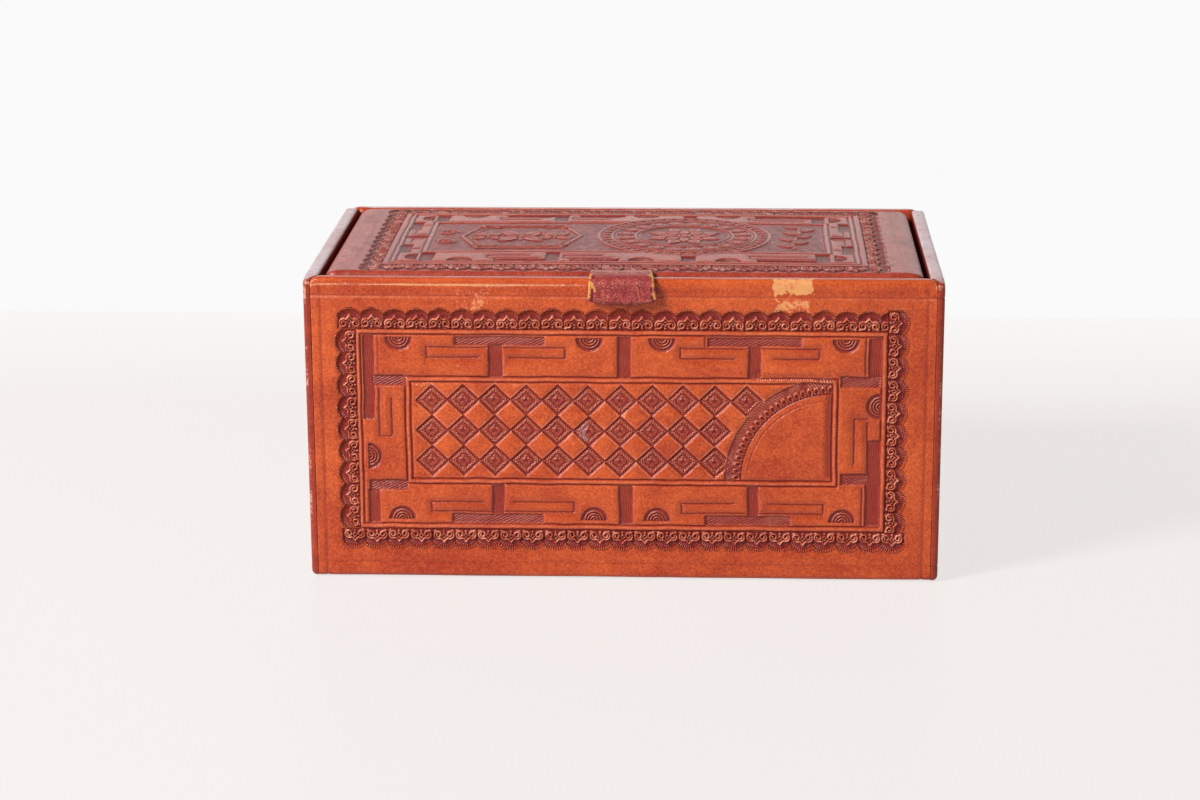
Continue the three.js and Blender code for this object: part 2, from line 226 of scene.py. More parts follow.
def halfDisc(f, cx, cz, ax, az, radius=5.2):
    # Concentric arcs on the side of the flat edge that (ax, az) points to.
    x, z = f["x"] - cx, f["z"] - cz
    r = np.hypot(x, z)
    gap = np.maximum(r - radius, -(x * ax + z * az))
    mask = soft(gap, 0.5)
    press(f, soft(gap - 0.8, 2.6) * (1 - mask), 0.26, 0.26)
    press(f, soft(gap - 0.1, 1.0), 0.85, 0)
    press(f, mask, 0.85, 0.95)
    rings = 0.5 + 0.5 * np.cos(2 * np.pi * (r - 0.3) / 1.16)  # 1.16 mm from ring to ring
    lift(f, mask * rings ** 2 * soft(r - radius + 0.7, 0.5), 0.75, 0.5)
    # The ring crests are lighter, partly as painted highlight.
    f["rub"] = np.maximum(f["rub"] * (1 - mask), 0.16 * mask * rings ** 4)
    press(f, stroke(gap, 0.18, 0.5), 0.85, 0.95)


def ridgeFrame(f, x0, x1, z0, z1, gap=2.2):
    # A raised frame between two grooves.
    for off in (0, gap):
        a, b, c, d = x0 + off, x1 - off, z0 + off, z1 - off
        groove(f, [(a, c), (b, c), (b, d), (a, d), (a, c)], 0.65, 1.0, 0.8)
    middle = gap / 2
    edge = np.abs(boxGap(f, x0 + middle, x1 - middle, z0 + middle, z1 - middle))
    mask = soft(edge - 0.45, 0.6)
    lift(f, mask, 0.95, 0.8)
    # The raised ridge is a little lighter, partly as painted highlight.
    f["rub"] = np.maximum(f["rub"] * (1 - mask), 0.08 * mask)


def scallops(f, start, along, outward, pitch, count, seed=5):
    # A run of fan stamps. a runs along it and b outwards from its straight side. Each stamp is a
    # sunk fan with a fringe of rays, and in it two raised scrolls, a peak and a small diamond.
    shake = np.random.default_rng(seed).random((4, count + 2)) - 0.5
    dx, dz = f["x"] - start[0], f["z"] - start[1]
    a, b = dx * along[0] + dz * along[1], dx * outward[0] + dz * outward[1]
    k = np.clip(np.floor(a / pitch).astype(int), 0, count - 1)
    p, q = a - (k + 0.5) * pitch + shake[0][k] * 0.35, b + shake[1][k] * 0.3
    p, q = p - 0.03 * shake[3][k] * q, q + 0.03 * shake[3][k] * p
    turn = np.arctan2(q - 1.8, p) / np.pi * 20
    radius = np.hypot(p, q - 1.8)
    side = np.maximum(-b, np.maximum(-a - 0.2, a - pitch * count - 0.2))
    gap = np.maximum(radius - 6.0, side)
    cover = soft(gap, 0.5)
    s = np.abs(p)
    x, y = s - 2.45, q - 2.2
    r, t = np.hypot(x, y), (2.2 - np.arctan2(y, x)) / (2 * np.pi) % 1
    scroll = np.minimum(np.abs(r - 1.85 + 0.95 * t), np.abs(r - 0.9 + 0.9 * t) + 3 * (t > 0.5))
    peak = np.minimum(segment(s, q, 1.5, 3.7, 0.8, 4.2), segment(s, q, 0.8, 4.2, 0.0, 5.4))
    foot = segment(s, q, 4.5, 0.7, 3.2, 0.5) + 0.08
    diamond = np.abs(s * 1.2 + np.abs(q - 2.75) - 1.0) + 0.06
    raised = np.minimum(np.minimum(scroll, peak), np.minimum(foot, diamond)) - 0.3
    raised = np.minimum(raised, np.hypot(s, q - 0.85) - 0.35)
    raised = soft(raised, 0.36) * soft(radius - 4.35, 0.4) * cover
    wide = soft(gap - 0.1, 1.1)
    drop = 0.1 + (1.05 + 0.16 * shake[2][k]) * (1 - 0.85 * raised)
    stain = cover * (0.98 + 0.1 * shake[2][k]) * (1 - 0.75 * raised)
    fill(f, "drop", wide, drop)
    fill(f, "stain", cover, stain)
    press(f, soft(gap - 0.8, 2.6) * (1 - wide), 0.3, 0.2)
    rays = stroke(np.maximum(radius - 6.25, side + 0.3), 0.4, 0.4) * (1 - cover)
    atLeast(f, "stain", 0.9 * rays)
    # The raised scrolls are rubbed lighter in patches, partly as painted highlight.
    shine = np.clip(2.2 * noise(f["x"], f["z"], 2.0, seed + 60) - 0.9, 0, 0.8)
    f["rub"] = np.maximum(f["rub"] * (1 - cover), raised * shine)
    inner = soft(4.7 - radius, 0.5) * (q > 1.2) * cover
    f["hatch"] = f["hatch"] * (1 - cover) + 1.8 * inner + 3.2 * rays
    f["phase"] = np.where(cover + rays > 0.05, turn, f["phase"])


def diamonds(f, x0, z0, columns, rows, pitch=12.7, rise=12.75, half=6.7):
    # Stamped diamonds touching corner to corner: a dark edge, a dotted border and a small flower.
    # columns holds how many stand in each row, from the top row down.
    x, z = f["x"], f["z"]
    j = np.clip(np.round((z0 - z) / rise).astype(int), 0, rows - 1)
    i = np.clip(np.round((x - x0) / pitch).astype(int), 0, np.array(columns)[j] - 1)
    shake = np.random.default_rng(11).random((5, rows, max(columns))) - 0.5
    p, q = x - x0 - i * pitch + shake[0][j, i] * 0.4, z - z0 + j * rise + shake[1][j, i] * 0.4
    tilt = 0.05 * shake[4][j, i]
    p, q = p - tilt * q, q + tilt * p
    m = np.abs(p) * 0.98 + np.abs(q) * 1.02
    n = np.where(p * q > 0, p - q, p + q)
    cover = soft(m - half, 0.6)
    depth = 0.85 + 0.2 * shake[2][j, i]
    wide = soft(m - half - 0.15, 1.5)
    press(f, soft(m - half - 1.4, 4.2) * (1 - wide), 0.36, 0.1)
    press(f, wide, depth, 0)
    press(f, cover, depth, 0.78 + 0.22 * noise(x, z, 1.2, 40))
    press(f, stroke(m - half + 0.5, 0.4, 0.7), depth + 0.2, 0.95)
    ripple = 0.5 * np.cos(2 * np.pi * n / 1.5)
    dots = stroke(m - half * 0.69 + ripple, 0.34, 0.4) * cover
    lift(f, dots, 0.45, 1.0)
    # The dotted border's beads are rubbed lighter, partly as painted highlight.
    f["rub"] = f["rub"] * (1 - cover) + 0.42 * dots
    press(f, soft(m - half * 0.56, 0.5), depth + 0.08, 0.9)
    r, c = np.hypot(p, q), np.abs(np.cos(2 * np.arctan2(q, p)))
    petals = soft(np.abs(r - 1.6) - 0.8 * c ** 0.6, 0.45)
    lift(f, petals, 0.3, 0.22)
    press(f, stroke(r - 1.7, 0.16, 0.35) * soft(0.82 - c, 0.2), 0.6, 0.9)
    tips = soft(np.hypot(np.abs(p) - 3.0, q) - 0.3, 0.4) + soft(np.hypot(p, np.abs(q) - 3.0) - 0.3, 0.4)
    lift(f, tips, 0.3, 0.3)
    # Two small raised dots near each diamond's middle, lightened as painted highlights.
    spark = soft(np.hypot(np.abs(p + 0.1) - 0.75, q - 0.85) - 0.28, 0.4)
    lift(f, spark, 0.5, 0.6)
    atLeast(f, "rub", spark)
    # Patches of painted highlight, partly rubbed wear, on the lips round each diamond.
    lip = stroke(m - half - 0.75, 0.2, 0.5) * np.clip(2.4 * noise(x, z, 3.5, 62) - 0.6, 0, 1)
    atLeast(f, "rub", 0.8 * lip)


def rim(f, half, seed):
    # Creases ruled along the edges, and the bright worn line where the rim starts to turn over.
    # Heights past 122 are lengths round the rim. The left half is the more worn.
    x, z, left = f["x"], f["z"], f["x"] < 0

    def uneven(size, k):
        # A random swelling along the edge.
        return noise(x, z * 0, size, seed + k)

    for cx in (-half + 3.7, half - 3.7):
        groove(f, [(cx, -9), (cx, 121)], 0.4, 0.3, 0.62)
    for cz, width, depth, stain in ((117.6, 0.45, 0.3, 0.5), (6.6, 0.4, 0.2, 0.36)):
        groove(f, [(-half - 5, cz), (half + 5, cz)], width, depth, stain)
    # A pale line just under the upper crease, stronger on the left: partly rubbed wear, partly a painted
    # highlight.
    atLeast(f, "rub", bell(z, 117.0, 0.3) * (0.1 + 0.6 * uneven(9, 5)) * np.where(left, 1, 0.45))
    line = bell(z - 0.6 * uneven(15, 2), 121.7, 0.44) * np.where(left, 0.82, 0.3) \
        * (0.7 + 0.35 * uneven(25, 0) + 0.3 * uneven(2.5, 8))
    f["drop"] = f["drop"] - 0.12 * bell(z, 121.8, 0.8)
    foot = bell(z, 0.5, 1.3) * (0.2 + 0.35 * uneven(9, 1))
    corner = np.clip(1.3 - np.hypot((half - np.abs(x)) / 3.2, (z - 123.0) / 3.2), 0, 1) \
        * (0.5 + 0.3 * noise(x, z, 1.2, seed + 7))
    for worn in (line, foot, corner):
        atLeast(f, "wear", worn)
    # A pale line along the rim's crest, stronger right of x = -70: a painted highlight.
    crest = bell(z, 127.3, 0.5) * np.where(x > -70, 0.95, 0.5) * (0.6 + 0.6 * uneven(12, 6))
    atLeast(f, "dust", crest * np.clip((half - 5 - np.abs(x)) / 3, 0, 1))
    atLeast(f, "dust", 0.8 * np.clip(line - 0.45, 0, 1))
    # Tone: darker from about 111 up and in a band near 119.6, lighter in a band near 123.5 as a painted
    # highlight, and darker past 125.4 as painted shade over the back of the rim's top and its inner face.
    f["tone"] = f["tone"] - 0.1 * soft(111 - z, 6) + 0.16 * bell(z, 123.5, 1.2) \
        - 0.3 * bell(z, 119.6, 1.3) - 0.3 * soft(125.4 - z, 1)


def scuff(f, x0, x1, z0, z1, amount, edge=2.0):
    # A patch rubbed through, ragged at its edges.
    x, z = f["x"], f["z"]
    gap = boxGap(f, x0, x1, z0, z1) + (noise(x, z, 1.2, 77) - 0.5) * 2.2
    atLeast(f, "wear", amount * soft(gap, edge) * (0.8 + 0.4 * noise(x + z, 0.6 * z, 0.9, 78)))


# The front's layout. Its figures were measured a little large, so it is drawn at 1 / scale of them
# round its centre, and a little lower.
# Bars are (left, right, low, high). Keys are the corners of their lines. Half discs are the middle
# of the flat edge and the way that they face. Border runs are (start, along, outward, pitch, count,
# seed). Scuffs are (left, right, low, high, amount, softness of the edge). Diamonds are the middle of
# the first one, how many stand in each row, and the rows. Parts are (left, right, low, high).
front = dict(
    scale=1.0086, centre=(-9, 72), lower=0.4, spacing=0.3,
    levelBars=((-67.4, -31.4, 97.2, 100.9), (34.0, 71.7, 97.2, 100.9), (-69.3, -32.3, 22.5, 26.4),
               (33.3, 67.9, 22.5, 26.4)),
    uprightBars=((-54.0, -48.1, 83.9, 97.2), (50.4, 55.4, 84, 97.2), (-1.9, 3.4, 84, 101),
                 (98.5, 103.7, 84, 101), (-53, -48.1, 26.2, 38.6), (50.4, 54.8, 26.2, 38.6),
                 (-1.5, 4.2, 22.5, 38.8), (97.8, 103.6, 22.5, 40.2), (-103.4, -98.8, 22.4, 36.4),
                 (-104.5, -100, 66, 101), (98.3, 104.1, 40, 58.5)),
    endBars=((-100.8, -88.0, 80.4, 84.6), (-102.9, -87.6, 36.2, 40.5), (87.5, 103.4, 80.6, 85.1),
             (87.7, 99.0, 40, 44.5)),
    cuts=([(-67.6, 100.9), (-67.6, 97)], [(33, 100.9), (33, 97)], [(97.3, 101), (97.3, 84.2)],
          [(96.6, 38.4), (96.6, 22.6)]),
    keys=([(-78.6, 96.2), (-54.5, 96.2)], [(-78.7, 96.4), (-78.7, 92), (-58, 92)],
          [(-47.6, 96.2), (-23, 96.2), (-23, 92), (-45, 92)],
          [(23.4, 96.2), (50.2, 96.2)], [(23.3, 96.4), (23.3, 92), (45, 92)],
          [(55.7, 96.2), (78.9, 96.2), (78.9, 92), (61, 92)],
          [(-57, 31.3), (-77.8, 31.3), (-77.8, 27.2), (-53.2, 27.2)],
          [(-44, 31.3), (-19.7, 31.3), (-19.7, 27.2), (-47.8, 27.2)],
          [(45, 31.3), (24, 31.3), (24, 27.2), (50.4, 27.2)],
          [(59, 31.3), (81.1, 31.3), (81.1, 27.2), (55, 27.2)],
          [(-98.3, 79), (-98.3, 59), (-93.3, 59), (-93.3, 75)],
          [(98.4, 67.5), (93.2, 67.5), (93.2, 48.5)], [(98.4, 66), (98.4, 45)]),
    halfDiscs=((-90, 100.2, 0, -1), (-13.2, 100.2, 0, -1), (15.9, 100.2, 0, -1), (89.4, 100.2, 0, -1),
               (-89.8, 24.0, 0, 1), (-11.6, 24.0, 0, 1), (13.9, 24.0, 0, 1), (88.8, 24.0, 0, 1),
               (-102.9, 50.6, 1, 0), (103.2, 72.7, -1, 0)),
    diamonds=(-77, 74.4, (11, 10, 10), 3), quarterDisc=(84.2, 41.2), hatched=(54, 78, 83.4, 86.4),
    frames=((-107.5, 106.0, 19.8, 103.7), (-87.6, 86.4, 39.0, 84.0)),
    border=(((-114.0, 103.7), (1, 0), (0, 1), 9.04, 25, 1), ((-107.1, 103.1), (0, -1), (-1, 0), 9.2, 9, 2),
            ((106.0, 111.8), (0, -1), (1, 0), 9.3, 10, 4), ((-114.3, 19.5), (1, 0), (0, -1), 9.13, 25, 3)),
    scuffs=((59.9, 75.8, 118.2, 126.5, 0.74, 1.2), (60.5, 75, 110.8, 117.2, 0.68, 4),
            (-69, -52, 110, 122.5, 0.51, 6), (-61, -55, 111, 117, 0.63, 3), (24, 30, 92, 97, 0.5, 4),
            (-72, -60, 87.6, 89.4, 0.6, 2), (-48, -26, 88.6, 89.2, 0.56, 2), (-2, 2, 66, 70, 0.58, 4),
            (-84, -76, 79.5, 82, 0.58, 3), (-46, -36, 79.5, 82, 0.55, 3), (28, 44, 84.5, 85.6, 0.54, 2)),
    smear=(-13.4, 61.4, 2.9),
    parts=((-115.2, 114.6, 11, 112.2), (-107.2, 105.6, 19.8, 103.4), (-86.5, 85.3, 40, 82.8)),
)


def quarterDisc(f, cx, cz):
    # The quarter disc in the panel's lower right corner: a plain sector in a hatched, ribbed ring.
    x, z = f["x"], f["z"]
    dx, dz = x - cx, z - cz
    r, angle = np.hypot(dx, dz), np.arctan2(dz, -dx)
    inside = (dx < 0) & (dz > 0)
    sector = soft(r - 43.2, 0.8) * inside
    for key, value in (("drop", 0.1), ("stain", 0), ("hatch", 0)):
        fill(f, key, sector, value)
    press(f, stroke(r - 39.9, 4.4, 3.0) * inside, 0.3, 0.3)
    press(f, stroke(r - 39.9, 3.3, 0.6) * inside, 0.75, 1.0)
    outer = soft(np.abs(r - 41.6) - 1.7 - 0.5 * noise(x, z, 1.4, 3), 0.7) * inside
    lines = angle * 41.6 / 1.15 + r * 0.5
    hatch(f, outer * 0.9, lines)
    # The hatched ring's crests are lighter in patches, partly as painted highlight.
    crest = soft(0.3 - np.cos(2 * np.pi * lines), 0.8)
    atLeast(f, "rub", outer * crest * np.clip(1.7 * noise(x, z, 3.5, 66) - 0.35, 0, 0.6))
    p = (angle * 38.2 / 2.75) % 1 - 0.5
    rib = np.abs(np.hypot(p * 2.75, (r - 38.0) * 0.62) - 0.95)
    lift(f, soft(rib - 0.24, 0.4) * stroke(r - 38.1, 1.75, 0.4) * inside, 0.75, 0.8)
    press(f, stroke(r - 36.6, 0.3, 0.5) * inside, 0.8, 0.9)
    press(f, stroke(r - 34.0, 0.22, 0.5) * inside * (angle > 0.12), 0.3, 0.4)
    press(f, soft(boxGap(f, 81.6, 84.4, 43, 80), 2.6), 0.3, 0.75)
    press(f, soft(boxGap(f, 46, 82, 41.2, 42.4), 2.4), 0.15, 0.5)


def frontPattern(f):
    # The key band: flat bars, open keys and half discs between two frames round a diamond field.
    rim(f, 124.0, 20)
    plain = f["x"], f["z"]
    cx, cz = front["centre"]
    x, z = (f["x"] - cx) * front["scale"] + cx, (f["z"] - cz) * front["scale"] + cz - front["lower"]
    f["x"], f["z"] = x, z
    groove(f, [(-98.3, 100.6), (-98.3, 85)], 0.6, 0.3, 0.5)
    for row in front["levelBars"]:
        bar(f, *row, lean=0.45)
    for row in front["uprightBars"]:
        bar(f, *row, lean=0.12, stain=0.86, pitch=0.9)
    for row in front["endBars"]:
        bar(f, *row, lean=0.5)
    for line in front["cuts"]:
        groove(f, line)
    for line in front["keys"]:
        hook(f, line)
    for row in front["halfDiscs"]:
        halfDisc(f, *row)
    diamonds(f, *front["diamonds"])
    quarterDisc(f, *front["quarterDisc"])
    for row in front["frames"]:
        ridgeFrame(f, *row)
    over = soft(boxGap(f, *front["hatched"]), 1.5)
    press(f, over, 0.2, 0.4)
    hatch(f, over, x / 0.95 + z * 0.5)
    for row in front["border"]:
        scallops(f, *row)
    for row in front["scuffs"]:
        scuff(f, *row)
    f["tone"] = np.clip(f["tone"] * 0.9 + 0.08 * bell(z, 100, 30) - 0.2 * soft(z - 16, 12), 0, 1)
    # A grey smear, in part of a ring.
    cx, cz, radius = front["smear"]
    smear = np.abs(np.hypot(x - cx, z - cz) - radius) - 1.1 + 2 * (noise(x, z, 0.9, 78) - 0.5)
    atLeast(f, "dust", 0.5 * soft(smear, 0.8) * soft(x - cx + 1, 2.5) * noise(x, z, 0.7, 79))
    f["x"], f["z"] = plain


# The back and the ends carry the front's tooling in a plainer layout. half is from the middle to the
# border's outside, and low and high are where the border starts and stops.
back = dict(half=114.3, columns=13, rows=4, seed=30, spacing=0.56, part=(-107, 106, 19.8, 103.4))
ends = dict(half=59.5, columns=4, rows=4, spacing=0.56)
plainField = dict(low=11.3, high=111.8, border=8, band=28, stamp=9.1, pitch=12.4, rise=12.0, diamond=6.3)


def sidePattern(f, half, columns, rows, seed):
    # Scalloped border, frame, half discs, bars and keys, mirrored both ways, and a diamond field.
    low, high, pitch, rise = (plainField[key] for key in ("low", "high", "pitch", "rise"))
    inner, band = half - plainField["border"], half - plainField["band"]
    middle, tall = (low + high) / 2, high - low - 2 * plainField["border"]
    count = round(2 * inner / plainField["stamp"])
    reach = band - 18 if band > 50 else 20
    for s in (-1, 1):
        for t in (1, -1):
            bar(f, s * (band + 2.2), s * (inner - 3.4), middle + t * 22, middle + t * 26.4, 0.5, 0.85)
        halfDisc(f, s * (inner - 3.6), middle, -s, 0)
        for t in (-1, 1):
            edge = middle + t * (tall / 2 - 3.8)
            halfDisc(f, s * (band - 4), edge, 0, -t)
            bar(f, s * 6, s * (reach - 4), edge - t * 3.9, edge, lean=0.45)
            hook(f, [(s * 11, edge - t * 9.6), (s * reach, edge - t * 9.6), (s * reach, edge - t * 5.4),
                     (s * 7, edge - t * 5.4)])
    for t in (-1, 1):
        edge = middle + t * (tall / 2 - 3.8)
        bar(f, -2.6, 2.6, edge - t * 15.4, edge, lean=0.12, stain=0.86, pitch=0.9)
    diamonds(f, -(columns - 1) / 2 * pitch, middle + (rows - 1) / 2 * rise, (columns,) * rows, rows,
             pitch=pitch, rise=rise, half=plainField["diamond"])
    ridgeFrame(f, -inner - 0.4, inner + 0.4, low + 7.6, high - 7.6)
    ridgeFrame(f, -band, band, middle - rows * rise / 2 - 4, middle + rows * rise / 2 + 4)
    for k, (edge, way) in enumerate(((high - 8, 1), (low + 8, -1))):
        scallops(f, (-inner, edge), (1, 0), (0, way), 2 * inner / count, count, seed + k)
    for k, way in ((2, -1), (3, 1)):
        scallops(f, (way * inner, high), (0, -1), (way, 0), (high - low) / 11, 11, seed + k)


def leaf(f, x, z, angle, length, width):
    # A raised pointed leaf with a cut vein, growing from (x, z).
    c, s = np.cos(angle), np.sin(angle)
    a, b = (f["x"] - x) * c + (f["z"] - z) * s, -(f["x"] - x) * s + (f["z"] - z) * c
    t = np.clip(a / length, 0, 1)
    gap = np.maximum(np.abs(b) - width * np.sin(np.pi * t ** 0.85) ** 0.9, np.maximum(-a, a - length))
    press(f, stroke(gap, 0.3, 0.5), 0.62, 0.95)
    lift(f, soft(gap + 0.35, 0.5), 0.85, 0.85)
    press(f, stroke(b, 0.22, 0.4) * soft(gap + 0.8, 0.5), 0.35, 0.6)


# The lid's layout, from its middle: x to the right and z to the back. The half discs, bars, keys and
# frames are mirrored, and so are the border's runs. frames are (half width, half depth, gap), and
# border is (half width, half depth, and both to its inside, stamps along, stamps across).
lidTooling = dict(
    frontEdge=46.5, frontShare=0.78, crease=112.4, edge=43.8, halfDiscs=(-67.5, 6.5, 42),
    bars=(-81.3, -29.9, 25.7, 80.5), keys=((-56.5, -35.5), (-25.3, -5.6), (50.9, 78.3)),
    ground=(81.5, 26.6), frames=((95.8, 46.5, 2.2), (84.5, 29.5, 2.5)),
    panel=-45, leaves=((-59, 0.74), (-45, 1.15), (-31, 0.74)),
    rosette=(23.5, 1.5), rings=((35.9, 0.65), (30.2, 0.5), (20.6, 0.55), (18.7, 0.3), (28.6, 0.28)),
    beads=44, petals=20, spray=70.5, scroll=(-76.3, 8.0),
    border=(106.5, 55.5, 98.5, 49, 24, 13),
)


def lidBand(f):
    # The lid's key band, two creases at each end, and the matted ground inside the frames.
    edge, crease = lidTooling["edge"], lidTooling["crease"]
    for t in (-1, 1):
        for cx in lidTooling["halfDiscs"]:
            halfDisc(f, cx, t * edge, 0, -t)
        for cx in lidTooling["bars"]:
            bar(f, cx - 2.7, cx + 2.7, t * 29.8, t * 43.6, lean=0.12, stain=0.9)
        for x0, x1 in lidTooling["keys"]:
            hook(f, [(x1 - 4, t * 34.6), (x0, t * 34.6), (x0, t * 39), (x1, t * 39)])
            bar(f, x0 + 3, x1 + 3, t * 40.4, t * edge, lean=0.45, stain=0.9)
    for s in (-1, 1):
        groove(f, [(s * crease, -62), (s * crease, 62)], 0.45, 0.3, 0.35 + 0.2 * s)
        groove(f, [(s * crease + 1.5 * s, -62), (s * crease + 2.5, 62)], 0.4, 0.2, 0.25 + 0.2 * s)
        for t in (-1, 1):
            bar(f, s * 89.0, s * 93.8, t * 14, t * 29.5, lean=0.12, stain=0.9)
            hook(f, [(s * 86, t * 4), (s * 90.5, t * 4), (s * 90.5, t * 22), (s * 86, t * 22)])
            halfDisc(f, s * 85.5, t * 37, s, 0, 4.6)
        bar(f, s * 84.8, s * 93.8, -2, 2, lean=0.5, stain=0.9)
    width, depth = lidTooling["ground"]
    ground = soft(boxGap(f, -width, width, -depth, depth), 0.8)
    press(f, ground, 0.5, 0.34 + 0.62 * noise(f["x"], f["z"], 1.7, 9))
    hatch(f, ground * 0.55, noise(f["x"], f["z"], 0.9, 10) * 2.2)
    for width, depth, gap in lidTooling["frames"]:
        ridgeFrame(f, -width, width, -depth, depth, gap)


def leafPanel(f):
    # The six-sided panel: a raised frame with pointed ends, and three sprays of four leaves in it.
    x, z = f["x"], f["z"]
    px, pz = np.abs(x - lidTooling["panel"]) - 17, np.abs(z)
    six = np.maximum(pz - 21.5, (px + pz * 0.36) * 0.94 - 7.6)
    lift(f, stroke(six, 0.7, 0.5), 0.95, 0.9)
    press(f, stroke(np.abs(six) - 1.25, 0.25, 0.5), 0.6, 0.95)
    lift(f, stroke(six + 3.0, 0.35, 0.5), 0.7, 0.75)
    for cx, size in lidTooling["leaves"]:
        for k in range(4):
            for turn, length, width in ((0, 10.5, 2.9), (0.785, 5.6, 1.3)):
                turn += np.pi / 4 + k * np.pi / 2
                leaf(f, cx + 1.4 * size * np.cos(turn), 1.4 * size * np.sin(turn), turn, length * size,
                     width * size)
        lift(f, soft(np.hypot(x - cx, z) - 1.3 * size, 0.5), 0.9, 0.9)
    for s in (-1, 1):
        for cx in (-59.5, -30.5):
            for angle in (0.0, np.pi):
                leaf(f, cx, s * 17.6, angle, 6.5, 1.5)


def rosette(f):
    # Round its middle: a ring of beads, a ring of petals and an eight-petalled flower, each repeated by
    # the turn that is left over once the angle is cut into equal shares.
    dx, dz = f["x"] - lidTooling["rosette"][0], f["z"] - lidTooling["rosette"][1]
    r, angle = np.hypot(dx, dz), np.arctan2(dz, dx)
    disc = soft(r - 36.6, 0.7)
    for key, value in (("drop", 0.55), ("stain", 0.72), ("hatch", 0.25)):
        fill(f, key, disc, value)
    beads, petals = lidTooling["beads"], lidTooling["petals"]
    for ring, width in lidTooling["rings"]:
        lift(f, stroke(r - ring, width, 0.5), 0.92, 0.85)
    turn = (angle * beads / (2 * np.pi)) % 1 - 0.5
    bead = np.hypot(turn * 2 * np.pi * 33 / beads, r - 33.05) - 1.55
    lift(f, soft(bead, 0.6), 0.85, 0.8)
    press(f, stroke(bead + 1.25, 0.2, 0.35), 0.35, 0.7)
    turn = (angle * petals / (2 * np.pi)) % 1 - 0.5
    t = np.clip((r - 21.4) / 6.6, 0, 1)
    petal = np.abs(turn) * 2 * np.pi * r / petals - 3.1 * np.sin(np.pi * (0.12 + 0.72 * t)) ** 0.8
    petal = np.maximum(petal, np.abs(r - 24.7) - 3.2)
    lift(f, soft(petal, 0.5), 0.85, 0.8)
    press(f, stroke(petal + 1.15, 0.22, 0.4), 0.3, 0.65)
    for count, length, width, offset in ((8, 16.4, 3.6, 0.0), (8, 11.5, 2.4, 0.5)):
        turn = ((angle * count / (2 * np.pi) + offset) % 1 - 0.5) * 2 * np.pi / count
        across, out = np.abs(r * np.sin(turn)), r * np.cos(turn)
        body = across - width * np.sin(np.pi * np.clip((out - 3.2) / (length - 3.2), 0, 1) ** 0.8) ** 0.9
        body = np.maximum(body, np.maximum(out - length, 3.4 - out))
        press(f, stroke(body, 0.3, 0.5), 0.6, 0.95)
        lift(f, soft(body + 0.4, 0.5), 0.85, 0.85)
        press(f, soft(across - 0.2, 0.4) * soft(body + 1.0, 0.5), 0.3, 0.6)
    lift(f, soft(r - 3.0, 0.5), 0.9, 0.8)
    press(f, stroke(r - 1.6, 0.25, 0.4), 0.4, 0.8)


def sprayAndScroll(f):
    # The upright spray near the right end, on a stem that sways as a sine, and the scroll near the left,
    # of two spirals whose radius shrinks with the angle.
    x, z, stem = f["x"], f["z"], lidTooling["spray"]
    sway = x - stem - 1.6 * np.sin(z / 9)
    lift(f, stroke(sway, 0.6, 0.5) * stroke(z, 21, 0.8), 0.9, 0.9)
    for k in range(7):
        z0 = -18 + k * 6.0
        s = 1 if k % 2 else -1
        leaf(f, stem + 1.6 * np.sin(z0 / 9), z0, np.pi / 2 - s * 0.95, 8.6, 2.1)
    for s in (-1, 1):
        sx, sz = x - lidTooling["scroll"][0], s * z - lidTooling["scroll"][1]
        rr, aa = np.hypot(sx, sz), (np.arctan2(sz, sx) / (2 * np.pi)) % 1
        curl = np.minimum(np.abs(rr - 4.4 + 2.3 * aa), np.abs(rr - 2.1 + 1.5 * aa))
        lift(f, soft(curl - 0.45, 0.5) * soft(rr - 4.8, 0.5), 0.9, 0.85)


def lidPattern(f):
    # The lid: the same border and key band round a matted ground, with a ringed rosette, a six-sided
    # panel of four-leaf sprays, an upright leaf spray and a small scroll. The front border is wider.
    frontEdge = lidTooling["frontEdge"]
    x = f["x"] * front["scale"]
    z = np.where(f["z"] < -frontEdge, -frontEdge + (f["z"] + frontEdge) * lidTooling["frontShare"], f["z"])
    f["x"], f["z"] = x, z
    for part in (lidBand, leafPanel, rosette, sprayAndScroll):
        part(f)
    f["tone"] = np.clip(f["tone"] - 0.2, 0, 1)
    reachX, reachZ, innerX, innerZ, long, short = lidTooling["border"]
    for k, way in enumerate((-1, 1)):
        scallops(f, (-reachX, way * innerZ), (1, 0), (0, way), 2 * reachX / long, long, 51 + k)
    for k, way in enumerate((-1, 1)):
        scallops(f, (way * innerX, reachZ), (0, -1), (way, 0), 2 * reachZ / short, short, 53 + k)
    for key, share in (("rub", 0.75), ("stain", 0.85), ("drop", 0.8)):
        f[key] = np.where(np.maximum(np.abs(x) / innerX, np.abs(z) / innerZ) > 1, f[key] * share, f[key])
    # Past the border the ends are smudged, and rubbed in long streaks beside the edge.
    plain = soft(106 - np.abs(x), 5)
    smudge = np.clip(noise(x, z, 6, 205) * 3 - 1.9, 0, 1) * plain
    streak = np.clip(2 * noise(x, z * 0.06, 1.9, 206) - 0.7, 0, 1)
    streak = streak * np.where(x < 0, 0.7, 0.5) * soft(109 - np.abs(x), 3)
    atLeast(f, "stain", np.maximum(0.6 * smudge, streak))
    f["tone"] = np.clip(f["tone"] - 0.2 * plain, 0, 1)


def gridNormals(points, flip=False):
    # The unit normals of a grid of points, from the differences between neighbours.
    across, up = np.gradient(points, axis=1), np.gradient(points, axis=0)
    n = np.cross(across, up)
    n /= np.maximum(np.linalg.norm(n, axis=2, keepdims=True), 1e-12)
    return -n if flip else n


